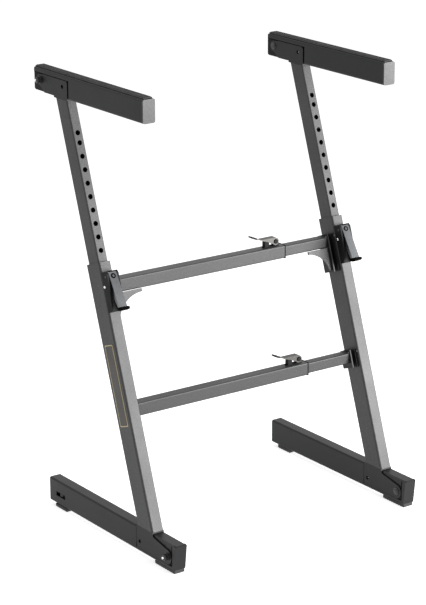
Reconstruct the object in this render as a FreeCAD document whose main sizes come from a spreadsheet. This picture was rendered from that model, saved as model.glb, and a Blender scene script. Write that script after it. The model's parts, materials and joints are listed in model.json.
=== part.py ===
"""Folding keyboard stand: two leaning side frames joined by two telescopic crossbars.

Millimetres, +Z up, -Y is the front, +X is from the left frame to the right one. The origin is on the
floor, under the middle of the stand.
"""

import FreeCAD, Part
import math
import os

import Sketcher

doc = FreeCAD.newDocument("keyboard_stand")
sheet = doc.addObject("Spreadsheet::Sheet", "Sizes")

# Driving sizes: the alias, the value and what it is.
SIZES = [
    ("frame_spacing", 610, "between the centre planes of the two side frames"),
    ("frame_width", 29, "width of arms, outer legs and feet along X"),
    ("side_plate", 2.5, "thickness of the plates of the fold brackets"),
    ("plate_step", 0.25, "how far the fold plates lie below the faces of the tubes"),
    ("side_gap", 0.3, "gap between a fold bracket's plate and the block it holds"),
    ("sheet_wall", 2, "wall of the steel tubes"),
    ("lean", 19, "lean of the legs from the vertical, degrees"),
    ("foot_front", -255, "front end of the feet"),
    ("foot_rear", 230, "rear end of the feet"),
    ("foot_bottom", 9, "underside of the foot tubes, which is the height of the pads"),
    ("foot_height", 55, "height of the foot tubes"),
    ("leg_middle", -145, "where the leg's axis meets the top of the foot"),
    ("arm_rear", 255, "rear end of the arms"),
    ("arm_front", -157, "front end of the arms"),
    ("arm_bottom", 927, "underside of the arms"),
    ("arm_height", 49, "height of the arm tubes"),
    ("arm_padding", 4, "thickness of the padding on the arms"),
    ("padding_width", 22, "width of the padding on the arms"),
    ("tube_corner", 4, "outer corner radius of the large tubes"),
    ("cap_thick", 4, "flange of the end caps"),
    ("cap_plug", 18, "depth of the end caps' plugs"),
    ("slip", 0.3, "clearance of pieces that slide or plug in"),
    ("leg_depth", 52, "depth of the outer legs"),
    ("leg_length", 560, "length of the outer legs along their axis"),
    ("bush_front", 3.75, "wall of the bush before and behind the inner leg"),
    ("post_corner", 3, "outer corner radius of the inner legs"),
    ("post_start", 380, "lower end of the inner legs, along the axis"),
    ("hole_bore", 11, "diameter of the height holes"),
    ("hole_pitch", 28.25, "pitch of the height holes"),
    ("hole_count", 12, "number of height holes"),
    ("head_hole_step", 21, "from the top height hole to the fixing hole above it"),
    ("pin_drop", 58, "from the top of the outer leg down to the lock pin"),
    ("pin_bore", 9, "diameter of the lock pin"),
    ("bush_depth", 70, "depth of the bush in the top of the outer leg"),
    ("bush_collar", 3, "thickness of the bush's collar"),
    ("web_thick", 3, "web of the fold brackets"),
    ("pivot_bore", 8, "diameter of the pivot bolts"),
    ("running", 0.05, "radial clearance of the pivots"),
    ("pivot_round", 12, "radius of the fold plates about their pivot"),
    ("arm_pivot_inset", 25, "from the rear end of the arm to its pivot"),
    ("arm_pivot_rise", 24, "from the underside of the arm to its pivot"),
    ("arm_lock_inset", 19, "from the front of the arm's fold plates to its lock button"),
    ("arm_plate_rise", 14, "top of the arm's fold plates above the pivot"),
    ("arm_plate_reach", 107, "front of the arm's fold plates from the pivot"),
    ("foot_pivot_inset", 31, "from the front end of the foot to its pivot"),
    ("foot_pivot_rise", 23, "from the underside of the foot tube to its pivot"),
    ("foot_lock_inset", 12, "from the rear of the foot's fold plates to its lock button"),
    ("foot_pivot_round", 16, "radius of the foot's fold plates about their pivot"),
    ("foot_plate_drop", 16, "lower edge of the foot's fold plates below the pivot"),
    ("foot_plate_reach", 112, "rear of the foot's fold plates from the pivot"),
    ("recess_gap", 3.5, "gap in front of the arm's fold plates"),
    ("heel_gap", 0.6, "gap behind the foot's fold plates"),
    ("button_bore", 8, "diameter of the lock buttons"),
    ("button_length", 14, "length of the lock buttons"),
    ("nut_across", 13, "across the flats of the pivot nuts"),
    ("nut_thick", 8, "thickness of the pivot nuts"),
    ("bolt_tip", 4, "bolt thread showing past its nut"),
    ("head_rise", 5, "height of the pivot bolts' heads"),
    ("toe_rake", 6, "how far the foot of the toe is set back"),
    ("toe_pad_length", 72, "length of the rubber pad under the toe"),
    ("rear_pad_length", 46, "length of the rear pads"),
    ("rear_pad_thick", 8.4, "thickness of the rear pads"),
    ("rear_pad_inset", 44, "from the rear end of the foot to the middle of its rear pad"),
    ("pad_width", 25, "width of the rubber pads"),
    ("wheel_bore", 24, "diameter of the levelling wheel"),
    ("wheel_thick", 8, "thickness of the levelling wheel"),
    ("wheel_rise", 33, "height of the middle of the levelling wheel"),
    ("wheel_shift", 1.5, "how far the levelling wheel is set towards its window"),
    ("stud_bore", 8, "diameter of the levelling stud"),
    ("window_length", 36, "length of the levelling wheel's window"),
    ("window_height", 10, "height of the levelling wheel's window"),
    ("bar_depth", 27, "depth of the crossbar sleeves"),
    ("bar_height", 29, "height of the crossbar sleeves"),
    ("bar_corner", 3, "outer corner radius of the crossbar sleeves"),
    ("bar_slip", 0.4, "gap between a sleeve and its inner bar"),
    ("upper_bar", 548, "height of the upper crossbar's axis"),
    ("lower_bar", 302, "height of the lower crossbar's axis"),
    ("sleeve_end", 158, "right end of the crossbar sleeves"),
    ("bar_start", -212, "left end of the inner bars"),
    ("bracket_wall", 3, "wall of the crossbar brackets"),
    ("bracket_reach", 16, "width of the crossbar brackets, from the leg to the bar"),
    ("bracket_rise", 15, "how far the crossbar brackets stand above the bars' axes, along the leg"),
    ("upper_bracket", 84, "height of the upper crossbar bracket"),
    ("lower_bracket", 40, "height of the lower crossbar bracket"),
    ("gusset_reach", 70, "length of the gussets along the crossbar"),
    ("gusset_drop", 50, "depth of the gussets below the crossbar"),
    ("gusset_nose", 7, "depth of the gussets' tips"),
    ("gusset_foot", 5, "width of the gussets' lower ends"),
    ("gusset_thick", 4, "thickness of the gussets"),
    ("housing_drop", 18, "from the top of the outer leg down to the height lock's housing"),
    ("housing_length", 85, "length of the height lock's housing"),
    ("housing_depth", 22, "depth of the housing's cheeks at the lever's pivot"),
    ("housing_back", 3, "thickness of the housing's back"),
    ("lever_drop", 29, "from the top of the outer leg down to the lock lever's pivot"),
    ("lever_reach", 14, "from the front of the leg to the lock lever's pivot"),
    ("lever_width", 19, "width of the lock lever"),
    ("lever_wall", 2, "sheet of the lock lever"),
    ("lever_length", 66, "length of the lock lever below its pivot"),
    ("lever_splay", 17, "how far the lower end of the lock lever stands out"),
    ("lever_pin", 5, "diameter of the lock lever's pivot pin"),
    ("grip_reach", 9, "how far the lever's grip lip stands out"),
    ("clamp_place", 137, "place of the clamp levers' pivots along X"),
    ("clamp_rise", 11, "height of the clamp levers' pivots above the sleeve"),
    ("clamp_pin", 5, "diameter of the clamp pins"),
    ("clamp_cam", 6.5, "radius of the clamps' barrels"),
    ("clamp_width", 15, "width of the clamp levers"),
    ("clamp_sheet", 2, "sheet of the clamp levers"),
    ("clamp_reach", 63, "length of the clamp levers"),
    ("clamp_lift", 19, "rise of the clamp levers from pivot to tip"),
    ("saddle_wall", 1.6, "thickness of the clamps' base plates"),
    ("post_step", 22, "from a clamp's pivot to its post"),
    ("post_size", 11, "length of the clamps' posts along the bar"),
    ("post_rise", 14.5, "height of the clamps' posts"),
]

for row, (alias, value, meaning) in enumerate(SIZES, start=1):
    sheet.set(f"A{row}", alias)
    sheet.set(f"B{row}", str(value))
    sheet.setAlias(f"B{row}", alias)
    sheet.set(f"C{row}", meaning)
doc.recompute()

parts = []


def size(expression):
    """The present value of an expression on the sheet."""
    return float(sheet.evalExpression(expression))


def named(text):
    """Puts the sheet's name before every alias in an expression."""
    words = []
    word = ""
    for letter in text + " ":
        if letter.isalnum() or letter == "_":
            word += letter
            continue
        if word in ALIASES:
            word = "Sizes." + word
        words.append(word + letter)
        word = ""
    return "".join(words).strip()


ALIASES = {alias for alias, value, meaning in SIZES}

# Derived places that several pieces share, as expressions on the sheet.
HALF = "frame_spacing / 2"
PLATE_OUT = "(frame_width / 2 - plate_step)"
PLATE_IN = "(frame_width / 2 - plate_step - side_plate)"
BLOCK_HALF = "(frame_width / 2 - plate_step - side_plate - side_gap)"
POST_WIDTH = f"(2 * {PLATE_IN})"
POST_DEPTH = "(leg_depth - 2 * sheet_wall - 2 * bush_front)"
BAR_HALF_DEPTH = "(bar_depth / 2 - sheet_wall - bar_slip)"
BAR_HALF_HEIGHT = "(bar_height / 2 - sheet_wall - bar_slip)"
PIN_LEVEL = "(leg_length - pin_drop)"
LEVER_LEVEL = "(leg_length - lever_drop)"
LEVER_OFFSET = "(leg_depth / 2 + lever_reach)"
HOUSING_HIGH = "(leg_length - housing_drop)"
HOUSING_LOW = "(leg_length - housing_drop - housing_length)"
FOOT_TOP = "(foot_bottom + foot_height)"
ARM_TOP = "(arm_bottom + arm_height)"
ARM_PIVOT_Y = "(arm_rear - arm_pivot_inset)"
ARM_PIVOT_Z = "(arm_bottom + arm_pivot_rise)"
FOOT_PIVOT_Y = "(foot_front + foot_pivot_inset)"
FOOT_PIVOT_Z = "(foot_bottom + foot_pivot_rise)"
LEG_FOOT_HALF = "(leg_depth / 2 / cos(lean))"
POST_HALF = f"({POST_DEPTH} / 2 / cos(lean))"
POST_TOP_Y = f"(leg_middle + (arm_bottom - {FOOT_TOP}) * tan(lean))"
HEAD_LEVEL = f"((arm_bottom - web_thick - slip - {FOOT_TOP}) / cos(lean))"
HEAD_HOLE_RISE = "((hole_count - 1) * hole_pitch + head_hole_step)"
ROW_EXCESS = f"({PIN_LEVEL} + {HEAD_HOLE_RISE} + hole_bore + {POST_HALF} * sin(lean) - {HEAD_LEVEL})"
ROW_START = f"({PIN_LEVEL} - hole_pitch * max(0; ceil({ROW_EXCESS} / hole_pitch)))"
ARM_LOCK_Y = f"({ARM_PIVOT_Y} - arm_plate_reach + arm_lock_inset)"
FOOT_LOCK_Y = f"({FOOT_PIVOT_Y} + foot_plate_reach - foot_lock_inset)"
TOE_SHOULDER = f"({FOOT_PIVOT_Y} - foot_pivot_round - 1.5)"


def bar_y(level):
    """Where the leg's axis is at a height, which is where a crossbar lies."""
    return f"(leg_middle + ({level} - {FOOT_TOP}) * tan(lean))"


def place(obj, x="0", y="0", z="0", turn="0"):
    """Places an object, turned about X."""
    obj.setExpression(
        "Placement",
        named(f"placement(vector({x}; {y}; {z}); rotation(vector(1; 0; 0); {turn}))"),
    )


def side_x(side):
    return f"{side} * {HALF}"


def place_on_leg(obj, side):
    """Places an object modelled in the leg's own frame, whose Z runs up the leg."""
    place(obj, side_x(side), "leg_middle", FOOT_TOP, "-lean")


def new_body(label, alone=True):
    """A body that is a sub-part by itself, or one of a group's pieces."""
    body = doc.addObject("PartDesign::Body", label)
    body.Label = label
    if alone:
        parts.append(body)
    return body


def new_group(label, pieces):
    group = doc.addObject("Part::Compound", label)
    group.Label = label
    group.Links = pieces
    parts.append(group)


def new_sketch(body, role, offset=None):
    """A sketch on one of the body's own origin planes, shifted along the plane's normal."""
    plane = next(item for item in body.Origin.OriginFeatures if item.Role == role)
    sketch = body.newObject("Sketcher::SketchObject", body.Name + "_sketch")
    sketch.AttachmentSupport = (plane, [""])
    sketch.MapMode = "FlatFace"
    if offset is not None:
        sketch.setExpression("AttachmentOffset.Base.z", named(offset))
    return sketch


def hold(sketch, kind, *where):
    """Adds a constraint whose last value is an expression on the sheet."""
    *ends, expression = where
    index = sketch.addConstraint(Sketcher.Constraint(kind, *ends, size(named(expression))))
    sketch.setExpression(f"Constraints[{index}]", named(expression))


def polygon(sketch, points):
    """A closed outline through points given as pairs of expressions."""
    values = [(size(named(u)), size(named(v))) for u, v in points]
    first = sketch.GeometryCount
    count = len(points)
    for i in range(count):
        start = FreeCAD.Vector(*values[i], 0)
        end = FreeCAD.Vector(*values[(i + 1) % count], 0)
        sketch.addGeometry(Part.LineSegment(start, end), False)
    for i in range(count):
        sketch.addConstraint(Sketcher.Constraint("Coincident", first + i, 2, first + (i + 1) % count, 1))
    for i, (u, v) in enumerate(points):
        hold(sketch, "DistanceX", -1, 1, first + i, 1, u)
        hold(sketch, "DistanceY", -1, 1, first + i, 1, v)


def open_outline(sketch, points):
    """Straight edges through points given as pairs of expressions, open between the last and the first."""
    values = [FreeCAD.Vector(size(named(u)), size(named(v)), 0) for u, v in points]
    for i in range(len(points) - 1):
        sketch.addGeometry(Part.LineSegment(values[i], values[i + 1]), False)
        if i:
            sketch.addConstraint(Sketcher.Constraint("Coincident", i - 1, 2, i, 1))
        hold(sketch, "DistanceX", -1, 1, i, 1, points[i][0])
        hold(sketch, "DistanceY", -1, 1, i, 1, points[i][1])
    hold(sketch, "DistanceX", -1, 1, len(points) - 2, 2, points[-1][0])
    hold(sketch, "DistanceY", -1, 1, len(points) - 2, 2, points[-1][1])


def circle(sketch, u, v, radius):
    centre = FreeCAD.Vector(size(named(u)), size(named(v)), 0)
    index = sketch.addGeometry(Part.Circle(centre, FreeCAD.Vector(0, 0, 1), size(named(radius))), False)
    hold(sketch, "DistanceX", -1, 1, index, 3, u)
    hold(sketch, "DistanceY", -1, 1, index, 3, v)
    hold(sketch, "Radius", index, radius)


def rounded_rectangle(sketch, wide, tall, corner):
    """A rectangle with round corners about the sketch's origin."""
    w, t, r = (size(named(text)) for text in (wide, tall, corner))
    first = sketch.GeometryCount
    lines = [
        ((-w / 2 + r, -t / 2), (w / 2 - r, -t / 2)),
        ((w / 2, -t / 2 + r), (w / 2, t / 2 - r)),
        ((w / 2 - r, t / 2), (-w / 2 + r, t / 2)),
        ((-w / 2, t / 2 - r), (-w / 2, -t / 2 + r)),
    ]
    across, along = w / 2 - r, t / 2 - r
    centres = [(across, -along), (across, along), (-across, along), (-across, -along)]
    for i in range(4):
        start, end = lines[i]
        sketch.addGeometry(Part.LineSegment(FreeCAD.Vector(*start, 0), FreeCAD.Vector(*end, 0)), False)
        round_edge = Part.Circle(FreeCAD.Vector(*centres[i], 0), FreeCAD.Vector(0, 0, 1), r)
        turn = math.radians(-90 + 90 * i)
        sketch.addGeometry(Part.ArcOfCircle(round_edge, turn, turn + math.pi / 2), False)
    for i in range(4):
        line = first + 2 * i
        sketch.addConstraint(Sketcher.Constraint("Tangent", line, 2, line + 1, 1))
        sketch.addConstraint(Sketcher.Constraint("Tangent", line + 1, 2, first + (2 * i + 2) % 8, 1))
        sketch.addConstraint(Sketcher.Constraint("Horizontal" if i % 2 == 0 else "Vertical", line))
    for i in range(1, 4):
        sketch.addConstraint(Sketcher.Constraint("Equal", first + 1, first + 1 + 2 * i))
    sketch.addConstraint(Sketcher.Constraint("Symmetric", first + 2, 1, first + 6, 1, -1, 1))
    hold(sketch, "DistanceX", first + 6, 1, first + 2, 1, wide)
    hold(sketch, "DistanceY", first, 1, first + 4, 1, tall)
    hold(sketch, "Radius", first + 1, corner)


def pad(body, sketch, length, both=False):
    feature = body.newObject("PartDesign::Pad", body.Name + "_pad")
    feature.Profile = sketch
    feature.Midplane = both
    feature.setExpression("Length", named(length))
    doc.recompute()
    return feature


def pocket(body, sketch, length=None, both=False, reverse=False):
    """Cuts a sketch out of a body, through all of it where no length is given, and checks that it cut."""
    doc.recompute()
    before = body.Shape.Volume
    feature = body.newObject("PartDesign::Pocket", body.Name + "_pocket")
    feature.Profile = sketch
    feature.Midplane = both
    feature.Reversed = reverse
    if length is None:
        feature.Type = "ThroughAll"
    else:
        feature.setExpression("Length", named(length))
    doc.recompute()
    if not body.Shape.Volume < before:
        raise RuntimeError(f"{feature.Name} cuts nothing from {body.Label}")
    return feature


def tube(label, role, wide, tall, corner, wall, length, offset=None):
    """A tube body, or a solid bar where wall is None, from the plane of the given role along its normal."""
    body = new_body(label)
    sketch = new_sketch(body, role, offset)
    rounded_rectangle(sketch, wide, tall, corner)
    if wall is not None:
        rounded_rectangle(sketch, f"{wide} - 2 * {wall}", f"{tall} - 2 * {wall}", f"{corner} - {wall}")
    pad(body, sketch, length)
    return body


def plate(label, points, thick, holes=()):
    """A plate in the YZ plane about X = 0, with round holes along X."""
    body = new_body(label)
    sketch = new_sketch(body, "YZ_Plane")
    polygon(sketch, points)
    pad(body, sketch, thick, both=True)
    for hole in holes:
        bore_x(body, *hole)
    return body


def bore_x(body, y, z, radius):
    """A round hole along X right through a body."""
    sketch = new_sketch(body, "YZ_Plane")
    circle(sketch, y, z, radius)
    pocket(body, sketch, both=True)


def cut_x(body, points):
    """An outline in the YZ plane cut right through a body."""
    sketch = new_sketch(body, "YZ_Plane")
    polygon(sketch, points)
    pocket(body, sketch, both=True)


def cut_sides(body, points, half):
    """An outline in the YZ plane cut out of both sides of a body, as deep as the given half width."""
    for sign in ("", "-"):
        sketch = new_sketch(body, "YZ_Plane", f"{sign}{half}")
        polygon(sketch, points)
        pocket(body, sketch, reverse=sign == "")


def add_x(body, points, thick):
    """An outline in the YZ plane added to a body about X = 0."""
    sketch = new_sketch(body, "YZ_Plane")
    polygon(sketch, points)
    pad(body, sketch, thick, both=True)


def add_round_x(body, y, z, radius, thick):
    sketch = new_sketch(body, "YZ_Plane")
    circle(sketch, y, z, radius)
    pad(body, sketch, thick, both=True)


def rectangle(low_u, low_v, high_u, high_v):
    return [(low_u, low_v), (high_u, low_v), (high_u, high_v), (low_u, high_v)]


def revolve_x(label, points, alone=True):
    """A turned piece about X, from a half outline of X and radius."""
    body = new_body(label, alone)
    sketch = new_sketch(body, "XY_Plane")
    polygon(sketch, points)
    axis = next(item for item in body.Origin.OriginFeatures if item.Role == "X_Axis")
    feature = body.newObject("PartDesign::Revolution", body.Name + "_turn")
    feature.Profile = sketch
    feature.ReferenceAxis = (axis, [""])
    feature.Angle = 360
    doc.recompute()
    return body


def leg_names(side):
    return "left" if side < 0 else "right"


# The outer leg: a tube cut level at the foot, with the lock pin's hole in its front wall.
def outer_leg(side):
    body = tube(
        f"{leg_names(side)}_outer_leg", "XY_Plane", "frame_width", "leg_depth", "tube_corner", "sheet_wall",
        "leg_length + leg_depth", "-leg_depth",
    )
    level = "web_thick / cos(lean)"
    cut_x(body, [
        ("-leg_depth", f"{level} - leg_depth * tan(lean)"),
        ("leg_depth", f"{level} + leg_depth * tan(lean)"),
        ("leg_depth", "-2 * leg_depth"),
        ("-leg_depth", "-2 * leg_depth"),
    ])
    sketch = new_sketch(body, "XZ_Plane")
    circle(sketch, "0", PIN_LEVEL, "pin_bore / 2 + slip")
    pocket(body, sketch, reverse=True)
    place_on_leg(body, side)


# The bush that guides the inner leg in the mouth of the outer one.
def leg_bush(side):
    body = tube(
        f"{leg_names(side)}_leg_bush", "XY_Plane",
        "frame_width - 2 * sheet_wall - 2 * side_gap", "leg_depth - 2 * sheet_wall - 2 * side_gap",
        "tube_corner - sheet_wall", None, "bush_depth", "leg_length - bush_depth",
    )
    sketch = new_sketch(body, "XY_Plane", "leg_length")
    rounded_rectangle(sketch, "frame_width", "leg_depth", "tube_corner")
    pad(body, sketch, "bush_collar")
    sketch = new_sketch(body, "XY_Plane", "leg_length + bush_collar")
    rounded_rectangle(sketch, f"{POST_WIDTH} + 2 * slip", f"{POST_DEPTH} + 2 * slip", "post_corner")
    pocket(body, sketch)
    sketch = new_sketch(body, "XZ_Plane")
    circle(sketch, "0", PIN_LEVEL, "pin_bore / 2 + slip")
    pocket(body, sketch, reverse=True)
    place_on_leg(body, side)


# The inner leg: a tube with a row of height holes down its front, cut level under the arm.
def inner_leg(side):
    body = tube(
        f"{leg_names(side)}_inner_leg", "XY_Plane", POST_WIDTH, POST_DEPTH, "post_corner", "sheet_wall",
        f"{HEAD_LEVEL} + {POST_DEPTH} - post_start", "post_start",
    )
    cut_x(body, [
        (f"-{POST_DEPTH}", f"{HEAD_LEVEL} - {POST_DEPTH} * tan(lean)"),
        (POST_DEPTH, f"{HEAD_LEVEL} + {POST_DEPTH} * tan(lean)"),
        (POST_DEPTH, f"{HEAD_LEVEL} + 2 * {POST_DEPTH}"),
        (f"-{POST_DEPTH}", f"{HEAD_LEVEL} + 2 * {POST_DEPTH}"),
    ])
    sketch = new_sketch(body, "XZ_Plane")
    circle(sketch, "0", f"{ROW_START} + {HEAD_HOLE_RISE}", "hole_bore / 2")
    pocket(body, sketch, reverse=True)
    sketch = new_sketch(body, "XZ_Plane")
    circle(sketch, "0", ROW_START, "hole_bore / 2")
    first_hole = pocket(body, sketch, reverse=True)
    axis = next(item for item in body.Origin.OriginFeatures if item.Role == "Z_Axis")
    row = body.newObject("PartDesign::LinearPattern", body.Name + "_holes")
    row.Originals = [first_hole]
    row.Direction = (axis, [""])
    row.setExpression("Length", named("(hole_count - 1) * hole_pitch"))
    row.setExpression("Occurrences", named("hole_count"))
    body.Tip = row
    place_on_leg(body, side)


# The height lock: a clevis in front of the leg, with a lever that draws the pin.
def lock_housing(side):
    front = "(-leg_depth / 2)"
    body = plate(
        f"{leg_names(side)}_lock_housing",
        [
            (front, HOUSING_LOW),
            (front, HOUSING_HIGH),
            (f"{front} - housing_depth + 4", HOUSING_HIGH),
            (f"{front} - housing_depth", f"{HOUSING_HIGH} - 6"),
            (f"{front} - housing_depth", f"{LEVER_LEVEL} - 20"),
            (f"{front} - housing_depth + 5", f"{HOUSING_LOW} + 10"),
            (f"{front} - housing_depth + 14", HOUSING_LOW),
        ],
        "frame_width",
    )
    mouth = rectangle(
        f"{front} - 2 * housing_depth", f"{HOUSING_LOW} - leg_depth",
        f"{front} - housing_back", f"{HOUSING_HIGH} + leg_depth",
    )
    sketch = new_sketch(body, "YZ_Plane")
    polygon(sketch, mouth)
    pocket(body, sketch, "lever_width + 4 * slip", both=True)
    bore_x(body, f"-{LEVER_OFFSET}", LEVER_LEVEL, "lever_pin / 2 + running")
    sketch = new_sketch(body, "XZ_Plane")
    circle(sketch, "0", PIN_LEVEL, "pin_bore / 2 + slip")
    pocket(body, sketch, reverse=True)
    place_on_leg(body, side)


def lock_lever(side):
    face = f"(-{LEVER_OFFSET} - 7)"
    body = plate(
        f"{leg_names(side)}_lock_lever",
        [
            (face, f"{LEVER_LEVEL} + 7"),
            (f"{face} + 3", f"{LEVER_LEVEL} + 9.5"),
            (f"-{LEVER_OFFSET} + 2", f"{LEVER_LEVEL} + 9.5"),
            (f"-{LEVER_OFFSET} + 7", f"{LEVER_LEVEL} + 4"),
            (f"-{LEVER_OFFSET} + 7", f"{LEVER_LEVEL} - 7"),
            (f"{face} + 7", f"{LEVER_LEVEL} - 24"),
            (f"{face} - lever_splay + 6", f"{LEVER_LEVEL} - lever_length"),
            (f"{face} - lever_splay", f"{LEVER_LEVEL} - lever_length"),
        ],
        "lever_width",
    )
    sketch = new_sketch(body, "YZ_Plane")
    polygon(sketch, [
        (f"{face} + lever_wall", f"{LEVER_LEVEL} + 20"),
        ("0", f"{LEVER_LEVEL} + 20"),
        ("0", f"{LEVER_LEVEL} - 2 * lever_length"),
        (f"{face} - 2 * lever_splay + lever_wall", f"{LEVER_LEVEL} - 2 * lever_length"),
        (f"{face} - lever_splay + lever_wall", f"{LEVER_LEVEL} - lever_length"),
        (f"{face} + lever_wall", LEVER_LEVEL),
    ])
    pocket(body, sketch, "lever_width - 2 * lever_wall", both=True)
    bore_x(body, f"-{LEVER_OFFSET}", LEVER_LEVEL, "lever_pin / 2 + running")
    place_on_leg(body, side)


def lever_grip(side):
    """The moulded lip at the lower end of the lock lever."""
    low = f"({LEVER_LEVEL} - lever_length)"
    back = f"(-{LEVER_OFFSET} - 1 - lever_splay)"
    body = plate(
        f"{leg_names(side)}_lever_grip",
        [
            (f"{back} + 1", low),
            (f"{back} - 6", low),
            (f"{back} - 6 - grip_reach", f"{low} - 1"),
            (f"{back} - 6 - grip_reach", f"{low} - 6"),
            (f"{back} - 6", f"{low} - 8"),
            (f"{back} + 1", f"{low} - 7"),
        ],
        "lever_width",
    )
    place_on_leg(body, side)


def lever_pivot(side):
    body = revolve_x(f"{leg_names(side)}_lever_pivot", [
        ("-frame_width / 2", "0"),
        ("-frame_width / 2", "lever_pin / 2"),
        ("frame_width / 2", "lever_pin / 2"),
        ("frame_width / 2", "0"),
    ])
    place(
        body, side_x(side),
        f"leg_middle - {LEVER_OFFSET} * cos(lean) + {LEVER_LEVEL} * sin(lean)",
        f"{FOOT_TOP} + {LEVER_OFFSET} * sin(lean) + {LEVER_LEVEL} * cos(lean)",
        "-lean",
    )


def lock_pin(side):
    """The pin that the lever draws out of the inner leg's holes, shown just clear of the leg."""
    tip = f"(-{POST_DEPTH} / 2 - slip)"
    body = new_body(f"{leg_names(side)}_lock_pin")
    sketch = new_sketch(body, "XY_Plane")
    polygon(sketch, [
        ("0", tip),
        ("pin_bore / 2 - 1.5", tip),
        ("pin_bore / 2", f"{tip} - 2"),
        ("pin_bore / 2", "-leg_depth / 2 - housing_back - 4"),
        ("0", "-leg_depth / 2 - housing_back - 4"),
    ])
    axis = next(item for item in body.Origin.OriginFeatures if item.Role == "Y_Axis")
    feature = body.newObject("PartDesign::Revolution", body.Name + "_turn")
    feature.Profile = sketch
    feature.ReferenceAxis = (axis, [""])
    feature.Angle = 360
    doc.recompute()
    y, z = f"leg_middle + {PIN_LEVEL} * sin(lean)", f"{FOOT_TOP} + {PIN_LEVEL} * cos(lean)"
    place(body, side_x(side), y, z, "-lean")


# The arm and its fold: two plates on the head of the inner leg hold a block in the arm.
def arm_bracket(side):
    front = f"({ARM_PIVOT_Y} - arm_plate_reach)"
    low = "(arm_bottom - web_thick - slip)"
    body = plate(
        f"{leg_names(side)}_arm_bracket",
        [
            (ARM_PIVOT_Y, f"{ARM_PIVOT_Z} - pivot_round"),
            (f"{ARM_PIVOT_Y} - 1.5 * pivot_round", "arm_bottom"),
            (f"{POST_TOP_Y} + {POST_HALF} + 1", "arm_bottom"),
            (f"{POST_TOP_Y} + {POST_HALF} + 1", low),
            (front, low),
            (front, f"{ARM_PIVOT_Z} + arm_plate_rise - 4"),
            (f"{front} + 4", f"{ARM_PIVOT_Z} + arm_plate_rise"),
            (f"{ARM_PIVOT_Y} - 1.5 * pivot_round", f"{ARM_PIVOT_Z} + arm_plate_rise"),
            (ARM_PIVOT_Y, f"{ARM_PIVOT_Z} + pivot_round"),
        ],
        f"2 * {PLATE_OUT}",
    )
    add_round_x(body, ARM_PIVOT_Y, ARM_PIVOT_Z, "pivot_round", f"2 * {PLATE_OUT}")
    sketch = new_sketch(body, "YZ_Plane")
    polygon(sketch, rectangle("arm_front", "arm_bottom - slip", "arm_rear + 10", f"{ARM_TOP} + 10"))
    pocket(body, sketch, f"2 * {PLATE_IN}", both=True)
    bore_x(body, ARM_PIVOT_Y, ARM_PIVOT_Z, "pivot_bore / 2 + running")
    bore_x(body, ARM_LOCK_Y, ARM_PIVOT_Z, "button_bore / 2 + slip")
    place(body, side_x(side))


def arm_tube(side):
    rear = "(arm_rear - cap_thick)"
    body = tube(
        f"{leg_names(side)}_arm_tube", "XZ_Plane", "frame_width", "arm_height", "tube_corner", "sheet_wall",
        f"{rear} - arm_front - cap_thick", f"-{rear}",
    )
    middle = "(arm_bottom + arm_height / 2)"
    front = f"({ARM_PIVOT_Y} - arm_plate_reach - recess_gap)"
    high = f"({ARM_PIVOT_Z} + arm_plate_rise + slip - {middle})"
    cut_sides(body, rectangle(front, "-arm_height", "arm_rear + 10", high), BLOCK_HALF)
    place(body, side_x(side), "0", middle)


def arm_block(side):
    """The moulded block that carries the arm's pivot and its lock button, and closes its rear end."""
    front = f"({ARM_PIVOT_Y} - arm_plate_reach - 20)"
    low = "(arm_bottom + sheet_wall + slip)"
    high = f"({ARM_TOP} - sheet_wall - slip)"
    body = plate(
        f"{leg_names(side)}_arm_block",
        [
            (front, low),
            ("arm_rear - cap_thick + slip", low),
            ("arm_rear - cap_thick + slip", "arm_bottom + 1"),
            ("arm_rear - 2", "arm_bottom + 1"),
            ("arm_rear", "arm_bottom + 3"),
            ("arm_rear", f"{ARM_TOP} - 3"),
            ("arm_rear - 2", f"{ARM_TOP} - 1"),
            ("arm_rear - cap_thick + slip", f"{ARM_TOP} - 1"),
            ("arm_rear - cap_thick + slip", high),
            (front, high),
        ],
        f"2 * {BLOCK_HALF}",
    )
    bore_x(body, ARM_PIVOT_Y, ARM_PIVOT_Z, "pivot_bore / 2 + running")
    button_seat(body, ARM_LOCK_Y, ARM_PIVOT_Z, side)
    place(body, side_x(side))


def button_seat(body, y, z, side):
    """A blind bore for a lock button, open towards the middle of the stand."""
    sketch = new_sketch(body, "YZ_Plane", f"{-side} * {BLOCK_HALF}")
    circle(sketch, y, z, "button_bore / 2 + running")
    pocket(body, sketch, "button_length + 5", reverse=side > 0)


def lock_button(label, y, z, side):
    inner = f"({BLOCK_HALF} - 0.2)"
    body = revolve_x(label, [
        (f"{-side} * {inner}", "0"),
        (f"{-side} * {inner}", "button_bore / 2 - 1"),
        (f"{-side} * ({inner} - 1.5)", "button_bore / 2"),
        (f"{-side} * ({inner} - button_length)", "button_bore / 2"),
        (f"{-side} * ({inner} - button_length)", "0"),
    ])
    place(body, side_x(side), y, z)


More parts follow.
